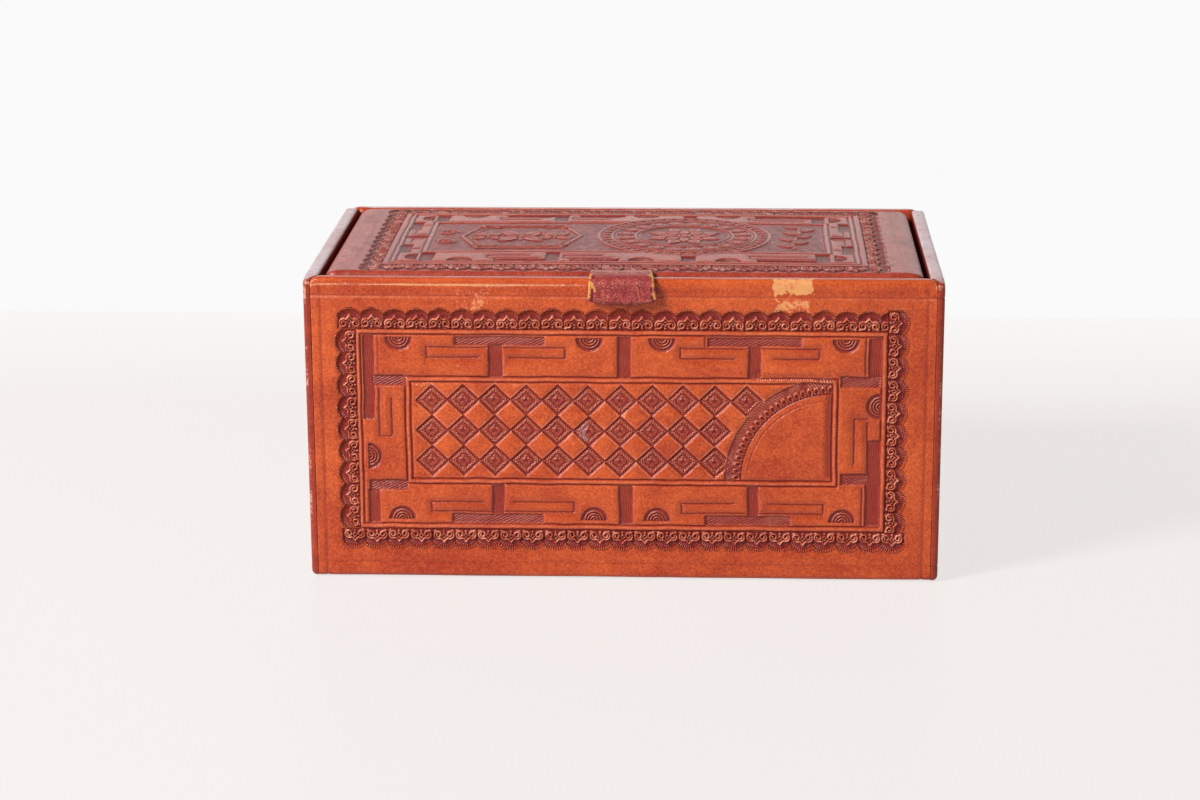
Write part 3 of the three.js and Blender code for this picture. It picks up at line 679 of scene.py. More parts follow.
def makeMesh(name, points, quads, normals=None, fields=None):
    # A smooth-shaded object from points in metres and the four corners of each face. fields holds
    # numbers that each point carries for the material.
    mesh = bpy.data.meshes.new(name)
    mesh.vertices.add(len(points))
    mesh.vertices.foreach_set("co", np.ascontiguousarray(points, np.float32).ravel())
    mesh.loops.add(quads.size)
    mesh.loops.foreach_set("vertex_index", np.ascontiguousarray(quads, np.int32).ravel())
    mesh.polygons.add(len(quads))
    mesh.polygons.foreach_set("loop_start", np.arange(0, quads.size, 4, dtype=np.int32))
    mesh.update(calc_edges=True)
    mesh.validate()
    mesh.polygons.foreach_set("use_smooth", np.ones(len(mesh.polygons), bool))
    for key, values in (fields or {}).items():
        layer = mesh.attributes.new(key, "FLOAT", "POINT")
        layer.data.foreach_set("value", np.ascontiguousarray(values, np.float32).ravel())
    if normals is not None:
        mesh.normals_split_custom_set_from_vertices(normals.tolist())
    obj = bpy.data.objects.new(name, mesh)
    bpy.context.scene.collection.objects.link(obj)
    return obj


def seal(obj, whole=True):
    # Merges points that lie on each other, so that seams, poles and tapered ends close. The faces of
    # a whole closed shape are then turned outwards.
    work = bmesh.new()
    work.from_mesh(obj.data)
    bmesh.ops.remove_doubles(work, verts=work.verts, dist=1e-7)
    if whole:
        bmesh.ops.recalc_face_normals(work, faces=work.faces)
    work.to_mesh(obj.data)
    work.free()


def tube(index):
    # The faces between neighbouring rows of a grid whose columns run round and meet.
    right = np.roll(index, -1, 1)
    return np.stack([index[:-1], right[:-1], right[1:], index[1:]], -1).reshape(-1, 4)


def makeTube(name, points, f=None, caps=()):
    # A closed piece from a grid of points (mm) whose columns run round and meet. caps are faces to add.
    index = np.arange(points.size // 3).reshape(points.shape[:2])
    values = {key: f[key] for key in carried} if f else None
    obj = makeMesh(name, points.reshape(-1, 3) / 1000, np.concatenate([tube(index), *caps]), None, values)
    seal(obj)
    return obj


def place(obj, body, slot, material, *nodes):
    # Gives a piece its material, its body and the CAD nodes that it shows in place of. slot is not used.
    obj.data.materials.clear()
    obj.data.materials.append(material)
    if body:
        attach(obj, body)
    if nodes:
        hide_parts(*nodes)
    return obj


def skin(name, points, f, flip, parts, finish, closed=False):
    # Presses the tooling into a grid of points (mm), then cuts the grid into the named parts. Each
    # face belongs to the part whose number parts gives at its first corner. closed merges the first
    # column with the last. The crests of the relief are rubbed lighter, partly as painted highlight,
    # and its hollows are stained darker as painted shade.
    f["drop"] = np.minimum(f["drop"], wall["deepest"])
    # Lighter crests: partly painted highlight. Darker hollows: painted shade.
    high = blurred(f["drop"], 3) - f["drop"]
    f["rub"] = f["rub"] + np.clip(high - 0.04, 0, 1) * 0.85
    f["stain"] = f["stain"] + np.clip(-high - 0.04, 0, 1) * 0.4
    relief = points - gridNormals(points, flip) * f["drop"][..., None]
    normals = gridNormals(relief, flip).reshape(-1, 3)
    index = np.arange(f["drop"].size).reshape(f["drop"].shape)
    quads = np.stack([index[:-1, :-1], index[:-1, 1:], index[1:, 1:], index[1:, :-1]], -1)
    if flip:
        quads = quads[..., ::-1]
    for number, label in enumerate(parts[0]):
        chosen = quads[parts[1][:-1, :-1] == number]
        used, local = np.unique(chosen.ravel(), return_inverse=True)
        values = {key: f[key].ravel()[used] for key in carried}
        obj = makeMesh(name + label, relief.reshape(-1, 3)[used] / 1000, local.reshape(-1, 4),
                       None if closed else normals[used], values)
        if closed:
            seal(obj, whole=False)
        place(obj, finish["body"], finish["slot"], finish["material"], finish["node"])
        print("piece:", obj.name, len(chosen) * 2, "triangles")


def put(tree, kind, links=None, out=0, **settings):
    # Adds a node with its settings. links holds its inputs by name or number, each a value or another
    # node's socket, and out names the output that comes back.
    made = tree.nodes.new("ShaderNode" + kind)
    for key, value in settings.items():
        setattr(made, key, value)
    for key, value in (links or {}).items():
        if isinstance(value, bpy.types.NodeSocket):
            tree.links.new(value, made.inputs[key])
        else:
            made.inputs[key].default_value = value
    return made.outputs[out] if made.outputs else made


def newMaterial(name):
    # An empty material, with its nodes, its shader and the place of a point on the piece (m).
    material = bpy.data.materials.new(name)
    material.use_nodes = True
    tree = material.node_tree
    return material, tree, tree.nodes["Principled BSDF"], put(tree, "TexCoord", out="Object")


def leatherMaterial(name, look):
    # Glazed leather: mottled between two tones, stained where the tooling is sunk, lighter where it is rubbed
    # and where highlights are painted, greyish pale where it is dusty and where sheen is painted, raw where
    # it is worn, and hatched by a fine wave where the tools left their lines.
    # Sizes are in mm. Real grain is near 0.3 mm, and is drawn at 0.72 so that it shows.
    material, tree, shader, spot = newMaterial(name)
    read = {key: put(tree, "Attribute", out="Fac", attribute_name=key) for key in carried}
    coarse = look.get("coarse", 1.0)
    sizes = dict(cloud=(12, 5, 0.55), patch=(3.2, 4, 0.65), fine=(0.72 * coarse, 2, 0.6),
                 pores=(0.4 * coarse, 2, 0.55), flake=(1.1 * coarse, 4, 0.75))
    grain = {key: put(tree, "TexNoise", {"Vector": spot, "Scale": 1000 / size, "Detail": detail,
                                         "Roughness": rough}, "Fac")
             for key, (size, detail, rough) in sizes.items()}
    tone = -1.1
    for share, gain in ((grain["cloud"], 0.9), (grain["patch"], 0.5), (grain["fine"], 1.2),
                        (read["tone"], 0.75)):
        tone = put(tree, "Math", {0: share, 1: gain, 2: tone}, operation="MULTIPLY_ADD",
                   use_clamp=share == read["tone"])
    # The tools' lines: a wave along the phase that each point carries.
    wave = put(tree, "Math", {0: read["phase"], 1: 2 * np.pi}, operation="MULTIPLY")
    wave = put(tree, "Math", {0: wave}, operation="SINE")
    wave = put(tree, "Math", {0: wave, 1: 0.5, 2: 0.5}, operation="MULTIPLY_ADD")
    lines = put(tree, "Math", {0: wave, 1: read["hatch"]}, operation="MULTIPLY")
    uneven = put(tree, "Math", {0: grain["patch"], 1: 0.7, 2: 0.62}, operation="MULTIPLY_ADD")
    stain = put(tree, "Math", {0: read["stain"], 1: uneven}, operation="MULTIPLY")
    stain = put(tree, "Math", {0: lines, 1: -0.3, 2: stain}, operation="MULTIPLY_ADD", use_clamp=True)
    covers = [(stain, "stain")]
    # The rubbed share is partly rubbed wear and partly painted highlight; the dusty share is partly dust and
    # partly painted sheen.
    for key, gain, base in (("rub", 2.2, -0.35), ("dust", 1.6, 0.2)):
        share = put(tree, "Math", {0: grain["patch"], 1: gain, 2: base}, operation="MULTIPLY_ADD")
        share = put(tree, "Math", {0: read[key], 1: share}, operation="MULTIPLY", use_clamp=True)
        covers.append((share, key))
    colours = {key: linear(code) for key, code in look.items() if isinstance(code, str)}
    colour = put(tree, "Mix", {0: tone, 6: colours["deep"], 7: colours["bright"]}, 2, data_type="RGBA")
    for share, key in covers:
        colour = put(tree, "Mix", {0: share, 6: colour, 7: colours[key]}, 2, data_type="RGBA")
    shade = put(tree, "Math", {0: grain["fine"], 1: 0.8, 2: 0.6}, operation="MULTIPLY_ADD")
    colour = put(tree, "VectorMath", {0: colour, "Scale": shade}, operation="SCALE")
    # Wear breaks through in flakes: paler at first, then down to the raw hide.
    worn = put(tree, "Math", {0: grain["flake"], 1: 1.1, 2: -1.1}, operation="MULTIPLY_ADD")
    worn = put(tree, "Math", {0: worn, 1: read["wear"]}, operation="ADD")
    worn = put(tree, "Math", {0: worn, 1: 8.0}, operation="MULTIPLY", use_clamp=True)
    bare = put(tree, "Math", {0: read["wear"], 1: 5.0, 2: -2.7}, operation="MULTIPLY_ADD", use_clamp=True)
    paler = [0.4 * a + 0.6 * b for a, b in zip(colours["bright"], colours["rub"])]
    raw = put(tree, "Mix", {0: bare, 6: paler, 7: colours["raw"]}, 2, data_type="RGBA")
    colour = put(tree, "Mix", {0: worn, 6: colour, 7: raw}, 2, data_type="RGBA")
    tree.links.new(colour, shader.inputs["Base Color"])
    gloss = look["rough"] - 0.09
    for share, gain in ((grain["patch"], 0.18), (worn, 0.25), (stain, 0.16)):
        gloss = put(tree, "Math", {0: share, 1: gain, 2: gloss}, operation="MULTIPLY_ADD")
    tree.links.new(gloss, shader.inputs["Roughness"])
    height = 0.0
    for share, gain in ((grain["fine"], 0.9), (grain["pores"], 0.5), (lines, 1.1)):
        height = put(tree, "Math", {0: share, 1: gain, 2: height}, operation="MULTIPLY_ADD")
    bump = put(tree, "Bump", {"Strength": 1.0, "Distance": 0.00018, "Height": height})
    tree.links.new(bump, shader.inputs["Normal"])
    shader.inputs["IOR"].default_value = 1.45
    return material


# Vegetable-tanned calf, dyed by hand and glazed: a soft shine, dark where the stamps hold the stain.
# The lid is the same leather, drawn darker as painted shade, with greyish pink rubbed crests that are partly
# painted sheen. The ends are redder and plainer. The tab's leather is dry and crackled, with pale flecks. The
# hinge is plain, matt and brown.
leathers = dict(
    glazed_tooled_leather=dict(deep="#9E2E12", bright="#D05C28", stain="#7A1416", raw="#DE9A5C",
                               rub="#E48C6E", rough=0.24),
    darkened_tooled_leather=dict(deep="#8E2C20", bright="#B44A32", stain="#5E1A20", raw="#C98A58",
                                 rub="#DCA698", rough=0.28),
    end_cover_leather=dict(deep="#80240F", bright="#AA3A1E", stain="#52121A", raw="#CE9060",
                           rub="#D8A8A0", rough=0.3),
    crackled_tab_leather=dict(deep="#78161A", bright="#A62C2E", stain="#481014", raw="#C98A42",
                              rub="#DE7E6C", rough=0.38, coarse=0.5),
    plain_hinge_leather=dict(deep="#7E3A22", bright="#96492B", stain="#5A2418", raw="#C98B55",
                             rub="#B8805A", rough=0.6),
)
coverLeather, lidLeather, endLeather, tabLeather, hingeLeather = (
    leatherMaterial(name, dict(dust="#CDBEC2", **look)) for name, look in leathers.items())


def wallProfile(s, square=2 / 2.8):
    # s is height on the outer face. Below the foot it goes on as length along the round foot and the
    # underside, and past the rim's shoulder as length round the rim, which is a half superellipse,
    # and down the inner face.
    foot, turn, top = wall["foot"], wall["thick"] / 2, wall["rim"] - wall["thick"] / 2
    a = np.clip((foot - s) / foot, 0, np.pi / 2)
    b = np.clip((s - top) / turn, 0, np.pi)
    over = np.sign(np.cos(b)) * np.abs(np.cos(b)) ** square
    deep = foot - foot * np.cos(a) + np.maximum(foot - foot * np.pi / 2 - s, 0) + turn - turn * over
    high = np.where(s < foot, foot - foot * np.sin(a), np.where(s > top, top + turn * np.sin(b) ** square, s))
    return deep, high - np.maximum(s - top - turn * np.pi, 0)


def slack(x, z, seed, amount=0.22):
    # The slow unevenness of leather over board, always inwards.
    return amount * (0.65 * noise(x, z, 34, seed) + 0.35 * noise(x, z, 11, seed + 1))


def wallRows(spacing):
    # Heights for wallProfile, from under the box to inside the rim, closest on the round parts and
    # the creases. spacing is for the tooled field.
    return spaced((-4.88, -1.6, 0.8), (-1.6, 2.6, 0.42), (2.6, 5.8, 0.8), (5.8, 7.4, 0.27), (7.4, 11, 0.8),
                  (11, 112.2, spacing), (112.2, 116.8, 0.7), (116.8, 118.4, 0.27), (118.4, 122, 0.45),
                  (122, 131.4, 0.5), (131.4, 149, 2.5))


def turnedEnd(distance):
    # How far a cut edge is rolled in, by its distance from the edge: a quarter circle, drawn shallow.
    t = np.clip(1 - distance / 0.5, 0, 1)
    return 0.36 * (1 - np.sqrt(1 - t * t))


def rimDip(fromEnd, s, length):
    # How far the rim sinks toward a cover's end.
    return 1.2 * np.clip(1 - fromEnd / length, 0, 1) ** 2 * np.clip((s - 119) / 4, 0, 1)


def longCover(name, side, pattern, spacing, parts):
    # A front or back cover: wallProfile carried along x. Its ends follow the mitres from the cuff on.
    half = wall["width"] / 2 - wall["cuff"]
    inner = np.array([-half, -half + 0.15, -half + 0.4])
    runs = ((-half + 0.7, -121.2, 0.3), (-121.2, -115, 0.9), (-115, 114.6, spacing), (114.6, 121.2, 0.9),
            (121.2, half - 0.7, 0.3))
    x, s = np.meshgrid(np.concatenate([inner, spaced(*runs), -inner[::-1]]), wallRows(spacing))
    deep, high = wallProfile(s)
    reach = wall["width"] / 2 - np.maximum(deep, wall["cuff"])
    fromEnd = half - np.abs(x)
    y = side * (wall["depth"] / 2 - deep) + shift
    points = np.stack([x * reach / half, y, high - rimDip(fromEnd, s, 3.4)], -1)
    f = field(x * -side, s, 60 + side)
    pattern(f)
    f["drop"] = f["drop"] + slack(x, s, 90 + side) + turnedEnd(fromEnd)
    finish = dict(body="box", slot="tooled_leather", material=coverLeather, node=name)
    skin(name.split("_")[0] + "_cover", points, f, side > 0, parts(f["x"], s), finish)


def within(x, s, left, right, low, high):
    # Which points lie in an upright box.
    return (x > left) & (x < right) & (s > low) & (s < high)


def frontParts(x, s):
    # The front is cut into its border, the two halves of its key band and its panel.
    border, band, panel = (within(x, s, *row) for row in front["parts"])
    return ("", "_border", "_left_band", "_right_band", "_panel"), np.select(
        [panel, band & (x < 0), band, border], [4, 2, 3, 1], 0)


def backParts(x, s):
    # The back is cut into its frame and the field inside the border.
    return ("", "_field"), np.where(within(x, s, *back["part"]), 1, 0)


def backPattern(f):
    # The plainer tooling, with the tone a little darker where the back stands in shade.
    rim(f, 124.0, 24)
    sidePattern(f, back["half"], back["columns"], back["rows"], back["seed"])
    f["tone"] = np.clip(f["tone"] - 0.35 * soft(124 - f["z"], 3), 0, 1)


longCover("front_leather", -1, frontPattern, front["spacing"], frontParts)
longCover("back_leather", 1, backPattern, back["spacing"], backParts)
print("stage: long covers")


def endCover(name, side, seed):
    # An end cover: a cuff on the front, a round corner, the end, a round corner and a cuff on the
    # back. At each depth the plan is the same path set further in, with a smaller corner.
    cuff, arc = np.r_[0, 0.04, 0.12, np.linspace(0.25, 1, 4)], np.linspace(0, 1, 6)[1:]
    straight = np.linspace(0, 1, int((wall["depth"] - 2 * wall["corner"]) / ends["spacing"]))[1:]
    share = np.concatenate([cuff, arc, straight, arc, 1 - cuff[:-1][::-1]])
    part = np.repeat(np.arange(5), (cuff.size, arc.size, straight.size, arc.size, cuff.size - 1))
    (part, s), (share, _) = (np.meshgrid(row, wallRows(ends["spacing"])) for row in (part, share))
    deep, high = wallProfile(s, 0.52)
    radius = np.maximum(wall["corner"] - deep, 0.05)
    cx, cy = -wall["width"] / 2 + deep + radius, -wall["depth"] / 2 + deep + radius
    start = np.maximum(-wall["width"] / 2 + wall["cuff"], cx + 0.05)
    turn = np.pi / 2 * share
    where = [part == k for k in range(4)]
    x = np.select(where, [start + (cx - start) * share, cx - radius * np.sin(turn), cx - radius,
                          cx - radius * np.cos(turn)], cx + (start - cx) * share)
    y = np.select(where, [cy - radius, cy - radius * np.cos(turn), cy * (1 - 2 * share),
                          -cy + radius * np.sin(turn)], -cy + radius)
    fromEnd = wall["depth"] / 2 - wall["corner"] - np.abs(y)
    points = np.stack([-side * x, y + shift, high - rimDip(fromEnd, s, 6)], -1)
    onEnd, onCuff = part == 2, (part == 0) | (part == 4)
    f = field(y * side, s, seed)
    f["x"] = np.where(onEnd, y, np.where(part < 2, -69.5, 69.5)) * side
    sidePattern(f, ends["half"], ends["columns"], ends["rows"], seed + 5)
    for z, depth, stain in ((117.6, 0.24, 0.42), (6.6, 0.2, 0.36)):
        groove(f, [(-90, z), (90, z)], 0.4, depth, stain)
    edge = np.select([part == 0, part == 4], [share * 3, (1 - share) * 3], 9)
    f["drop"] = f["drop"] + slack(f["x"], s, seed + 9) * onEnd + turnedEnd(edge)

    def uneven(size, k):
        # A random swelling up the corner.
        return noise(s, s * 0, size, seed + k)

    corner = ((part == 1) | (part == 3)) * (0.25 + 0.4 * uneven(7, 0))
    top = bell(s, 123, 2.2) * np.where(onEnd, 0.2 + 0.2 * noise(y, s * 0, 6, seed + 3),
                                       0.3 + 0.5 * noise(x, y, 1.5, seed + 2))
    for worn in (corner, top, 0.45 * bell(s, 0.5, 1.5), 0.28 * uneven(5, 4) * onCuff):
        atLeast(f, "wear", worn)
    # A greyish pale band over the end's rim top: painted sheen.
    crown = np.clip((s - 122.2) / 1.5, 0, 1) * np.clip((130.0 - s) / 0.6, 0, 1) * onEnd
    f["dust"] = crown * (0.45 + 0.35 * noise(x, y, 6, seed + 6))
    # Darker down the rim's inner face: painted shade.
    atLeast(f, "stain", 0.6 * np.clip((s - 129.8) / 0.5, 0, 1))
    f["tone"] = f["tone"] * 0.8
    finish = dict(body="box", slot="tooled_leather", material=endLeather, node=name)
    skin(name.split("_")[0] + "_cover", points, f, side < 0, (("",), part * 0), finish)


for label, side, seed in (("left", -1, 110), ("right", 1, 130)):
    endCover(label + "_leather", side, seed)
print("stage: end covers")

lid = dict(low=-62.5, high=61.8, half=119.2, top=126.0, foot=117.5, sideRoll=7.5, frontRoll=3.0, backRoll=6.0,
           drop=3.2, corner=4.0, crown=1.2, under=12.0, foldUnder=0.9, spacing=0.33, depth=0.84, fieldTo=55.6,
           parts=((106.9, 57.2), (98.2, 48.7), (83, 28)))


def lidCover():
    # The lid's top is one grid over its whole plan. It is crowned in the middle, and near each edge
    # it turns down along a quarter ellipse. Its plan has small round corners.
    roll = np.sin(np.linspace(0, np.pi / 2, 12))[::-1]
    half, low, high, edge = lid["half"], lid["low"], lid["high"], lid["parts"][0][0]
    sides = half - lid["sideRoll"] * (1 - roll)
    plain = half - lid["sideRoll"] - 0.6
    middle = spaced((-plain, -edge, 0.7), (-edge, edge, lid["spacing"]), (edge, plain, 0.7))
    columns = np.concatenate([-sides, middle, sides[::-1]])
    frontRows = low + lid["frontRoll"] * (1 - roll)
    backRows = high - lid["backRoll"] * (1 - roll)
    rows = np.concatenate([frontRows, spaced((low + 3.35, lid["fieldTo"], lid["spacing"])), backRows[::-1]])
    x, y = np.meshgrid(columns, rows)
    tx = np.clip(1 - (half - np.abs(x)) / lid["sideRoll"], 0, 1)
    ty = np.clip(np.where(y < 0, 1 - (y - low) / lid["frontRoll"], 1 - (high - y) / lid["backRoll"]), 0, 1)
    t = np.minimum((tx ** 4 + ty ** 4) ** 0.25, 1)
    crown = lid["crown"] * np.clip(1 - (x / 112) ** 2, 0, 1) ** 0.8 * np.clip(1 - (y / 56) ** 2, 0, 1) ** 0.8
    z = lid["top"] - lid["drop"] * (1 - np.sqrt(1 - t * t)) + crown
    radius = lid["corner"]
    a = np.clip((np.abs(x) - half + radius) / radius, 0, 1)
    b = np.clip((np.where(y < 0, low - y, y - high) + radius) / radius, 0, 1)
    roundX = np.sign(x) * (np.abs(x) - a * radius * (1 - np.sqrt(1 - b * b / 2)))
    roundY = y - np.sign(y) * b * radius * (1 - np.sqrt(1 - a * a / 2))
    points = np.stack([roundX, roundY + shift, z], -1)
    f = field(x, y, 200)
    lidPattern(f)
    f["drop"] = lid["depth"] * f["drop"] + slack(x, y, 210, 0.3) * (1 - t)
    fade = np.clip(1.6 - 1.8 * t, 0, 1)
    for key in ("stain", "hatch"):
        f[key] = f[key] * fade
    atLeast(f, "wear", 0.34 * t * noise(x, y, 5, 220))
    # The border, the key band and the panel each hold what lies inside their own outline.
    numbers = sum(within(x, y, -a, a, -b, b) * 1 for a, b in lid["parts"])
    finish = dict(body="lid", slot="lid_leather", material=lidLeather, node="lid_leather")
    skin("lid_cover", points, f, False, (("", "_border", "_band", "_panel"), numbers), finish)
    lidEdge(points, finish)


def lidEdge(points, finish):
    # Round the outside of the lid's grid: the upright edge, a small round turn and the border
    # underneath. Each height has its inset from the lid's outline.
    small, foot = lid["foldUnder"], lid["foot"]
    loop = np.concatenate([points[0, :-1], points[:-1, -1], points[-1, :0:-1], points[:0:-1, 0]])
    along = np.linalg.norm(np.diff(loop, axis=0), axis=1).cumsum()
    loop = loop[np.unique(along // 0.9, return_index=True)[1]]
    out = np.cross((np.roll(loop, -1, 0) - np.roll(loop, 1, 0)) * [1, 1, 0], [0, 0, 1])
    out /= np.linalg.norm(out, axis=1, keepdims=True)
    turns = np.linspace(0, np.pi / 2, 5)
    insets = np.concatenate([[0, 0, 0, 0], small - small * np.cos(turns), [3, 6, 9, lid["under"]]]) + 0.1
    heights = np.concatenate([np.linspace(lid["top"] - lid["drop"] + 0.02, foot + small + 0.2, 4),
                              foot + small - small * np.sin(turns), [foot] * 4])
    insets, heights = insets[:, None, None], heights[:, None, None]
    ring = loop * [1, 1, 0] - out * insets + heights * [0, 0, 1]
    centre = np.array([0, (lid["low"] + lid["high"]) / 2 + shift])
    limit = np.array([lid["half"], (lid["high"] - lid["low"]) / 2]) - insets
    ring[..., :2] = np.clip(ring[..., :2] - centre, -limit, limit) + centre
    ring = np.concatenate([ring, ring[:, :1]], 1)
    along = np.broadcast_to(np.arange(ring.shape[1]) * 0.9, ring.shape[:2])
    g = field(along, ring[..., 2], 230)
    g["drop"] = g["drop"] * 0
    g["tone"] = g["tone"] * 0.6
    skin("lid_edge", ring, g, True, (("",), along * 0), finish, closed=True)


lidCover()
print("stage: lid")


def plainMaterial(name, look):
    # A matt or metal surface, mottled between two tones. size is its grain in mm.
    material, tree, shader, spot = newMaterial(name)
    cloud, fine = (put(tree, "TexNoise", {"Vector": spot, "Scale": 1000 / (look["size"] * wide),
                                          "Detail": detail, "Roughness": 0.55}, "Fac")
                   for wide, detail in ((12, 4), (1, 3)))
    share = put(tree, "Math", {0: cloud, 1: 0.9, 2: -0.3}, operation="MULTIPLY_ADD")
    share = put(tree, "Math", {0: fine, 1: 0.7, 2: share}, operation="MULTIPLY_ADD", use_clamp=True)
    colour = put(tree, "Mix", {0: share, 6: linear(look["deep"]), 7: linear(look["bright"])}, 2,
                 data_type="RGBA")
    tree.links.new(colour, shader.inputs["Base Color"])
    gloss = put(tree, "Math", {0: fine, 1: 0.2, 2: look["rough"] - 0.1}, operation="MULTIPLY_ADD")
    tree.links.new(gloss, shader.inputs["Roughness"])
    bump = put(tree, "Bump", {"Strength": 0.7, "Distance": look["depth"] / 1000, "Height": fine})
    tree.links.new(bump, shader.inputs["Normal"])
    shader.inputs["Metallic"].default_value = look.get("metal", 0.0)
    shader.inputs["Sheen Weight"].default_value = look.get("sheen", 0.0)
    return material


# Wood board, sawn and left raw: pale and dull. Suede cloth: a short nap with a faint bloom.
rawBoard = dict(deep="#A98456", bright="#CFAE7C", size=0.9, rough=0.85, depth=0.15)
suede = dict(deep="#7C4A2B", bright="#A4683F", size=0.35, rough=0.95, depth=0.2, sheen=0.12)
# Wool felt, pressed: a soft fuzz with no shine. Steel, dulled by handling: dark, with a low gleam.
felt = dict(deep="#4A261B", bright="#6B3A28", size=0.5, rough=1.0, depth=0.3, sheen=0.5)
steel = dict(deep="#3A322C", bright="#6E6258", size=0.3, rough=0.42, depth=0.02, metal=1.0)
boardMaterial = plainMaterial("raw_wood_board", rawBoard)
liningMaterial = plainMaterial("suede_lining", suede)
feltMaterial = plainMaterial("pressed_wool_felt", felt)
pinMaterial = plainMaterial("tarnished_steel", steel)

for node in ("front_board", "back_board", "left_board", "right_board", "floor_board", "lid_board"):
    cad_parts[node].data.materials.clear()
    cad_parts[node].data.materials.append(boardMaterial)


def roundedCard(name, low, high, radius, material, slot, body, *nodes):
    # A block with every edge rounded: a ball's surface, cut in eight that are moved out to the corners.
    # The grid runs round the ball and up it, and closes at the middle of the bottom and of the top.
    quarter = np.linspace(0, np.pi / 2, 5)
    around = np.concatenate([quarter + k * np.pi / 2 for k in range(4)])
    rise = np.concatenate([quarter - np.pi / 2, quarter])[:, None]
    side = np.stack([np.repeat([1, -1, -1, 1], 5), np.repeat([1, 1, -1, -1], 5), np.ones(20)], -1)[None]
    side = side * np.stack([rise * 0 + 1, rise * 0 + 1, np.repeat([-1, 1], 5)[:, None]], -1)
    ball = np.stack([np.cos(rise) * np.cos(around), np.cos(rise) * np.sin(around),
                     np.sin(rise) + 0 * around], -1)
    points = side * ((high - low) / 2 - radius) + radius * ball
    points = np.concatenate([points[:1] * [0, 0, 1], points, points[-1:] * [0, 0, 1]]) + (low + high) / 2
    return place(makeTube(name, points), body, slot, material, *nodes)


def nodeBox(name):
    # A CAD node's two far corners, in mm.
    low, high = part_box(name)
    return np.array(low) * 1000, np.array(high) * 1000


# Each wall's card reaches to gap from the wall. walls gives each card's axis and direction.
lining = dict(radius=0.9, lidRadius=0.4, lidTop=117.35, feltRadius=0.25, gap=0.15,
              walls=dict(front_liner=(1, -1), back_liner=(1, 1), left_liner=(0, -1), right_liner=(0, 1)))
for node in (*lining["walls"], "floor_liner"):
    low, high = nodeBox(node)
    if node in lining["walls"]:
        axis, sign = lining["walls"][node]
        size = (wall["width"], wall["depth"])[axis]
        (low if sign < 0 else high)[axis] = sign * (size / 2 - wall["thick"] - lining["gap"]) + shift * axis
    roundedCard(node.split("_")[0] + "_lining_card", low, high, lining["radius"], liningMaterial, "lining",
                "box", node)
low, high = nodeBox("lid_lining")
high[2] = lining["lidTop"]
roundedCard("lid_lining_card", low, high, lining["lidRadius"], liningMaterial, "lining", "lid", "lid_lining")
roundedCard("felt_sheet", *nodeBox("base_felt"), lining["feltRadius"], feltMaterial, "base_felt", "box",
            "base_felt")
print("stage: lining")

tab = dict(root=3.0, axis=0.9, thin=0.8, thick=2.6, reach=3.4, shoulder=122.0, bottom=115.6, nose=1.4,
           halfRoot=11.9, halfNose=13.75, lean=0.8, side=0.45, bow=0.9, off=0.15, overRim=0.4, hang=0.35,
           bend=1.2, bendHeight=126.6, rows=78, columns=84)


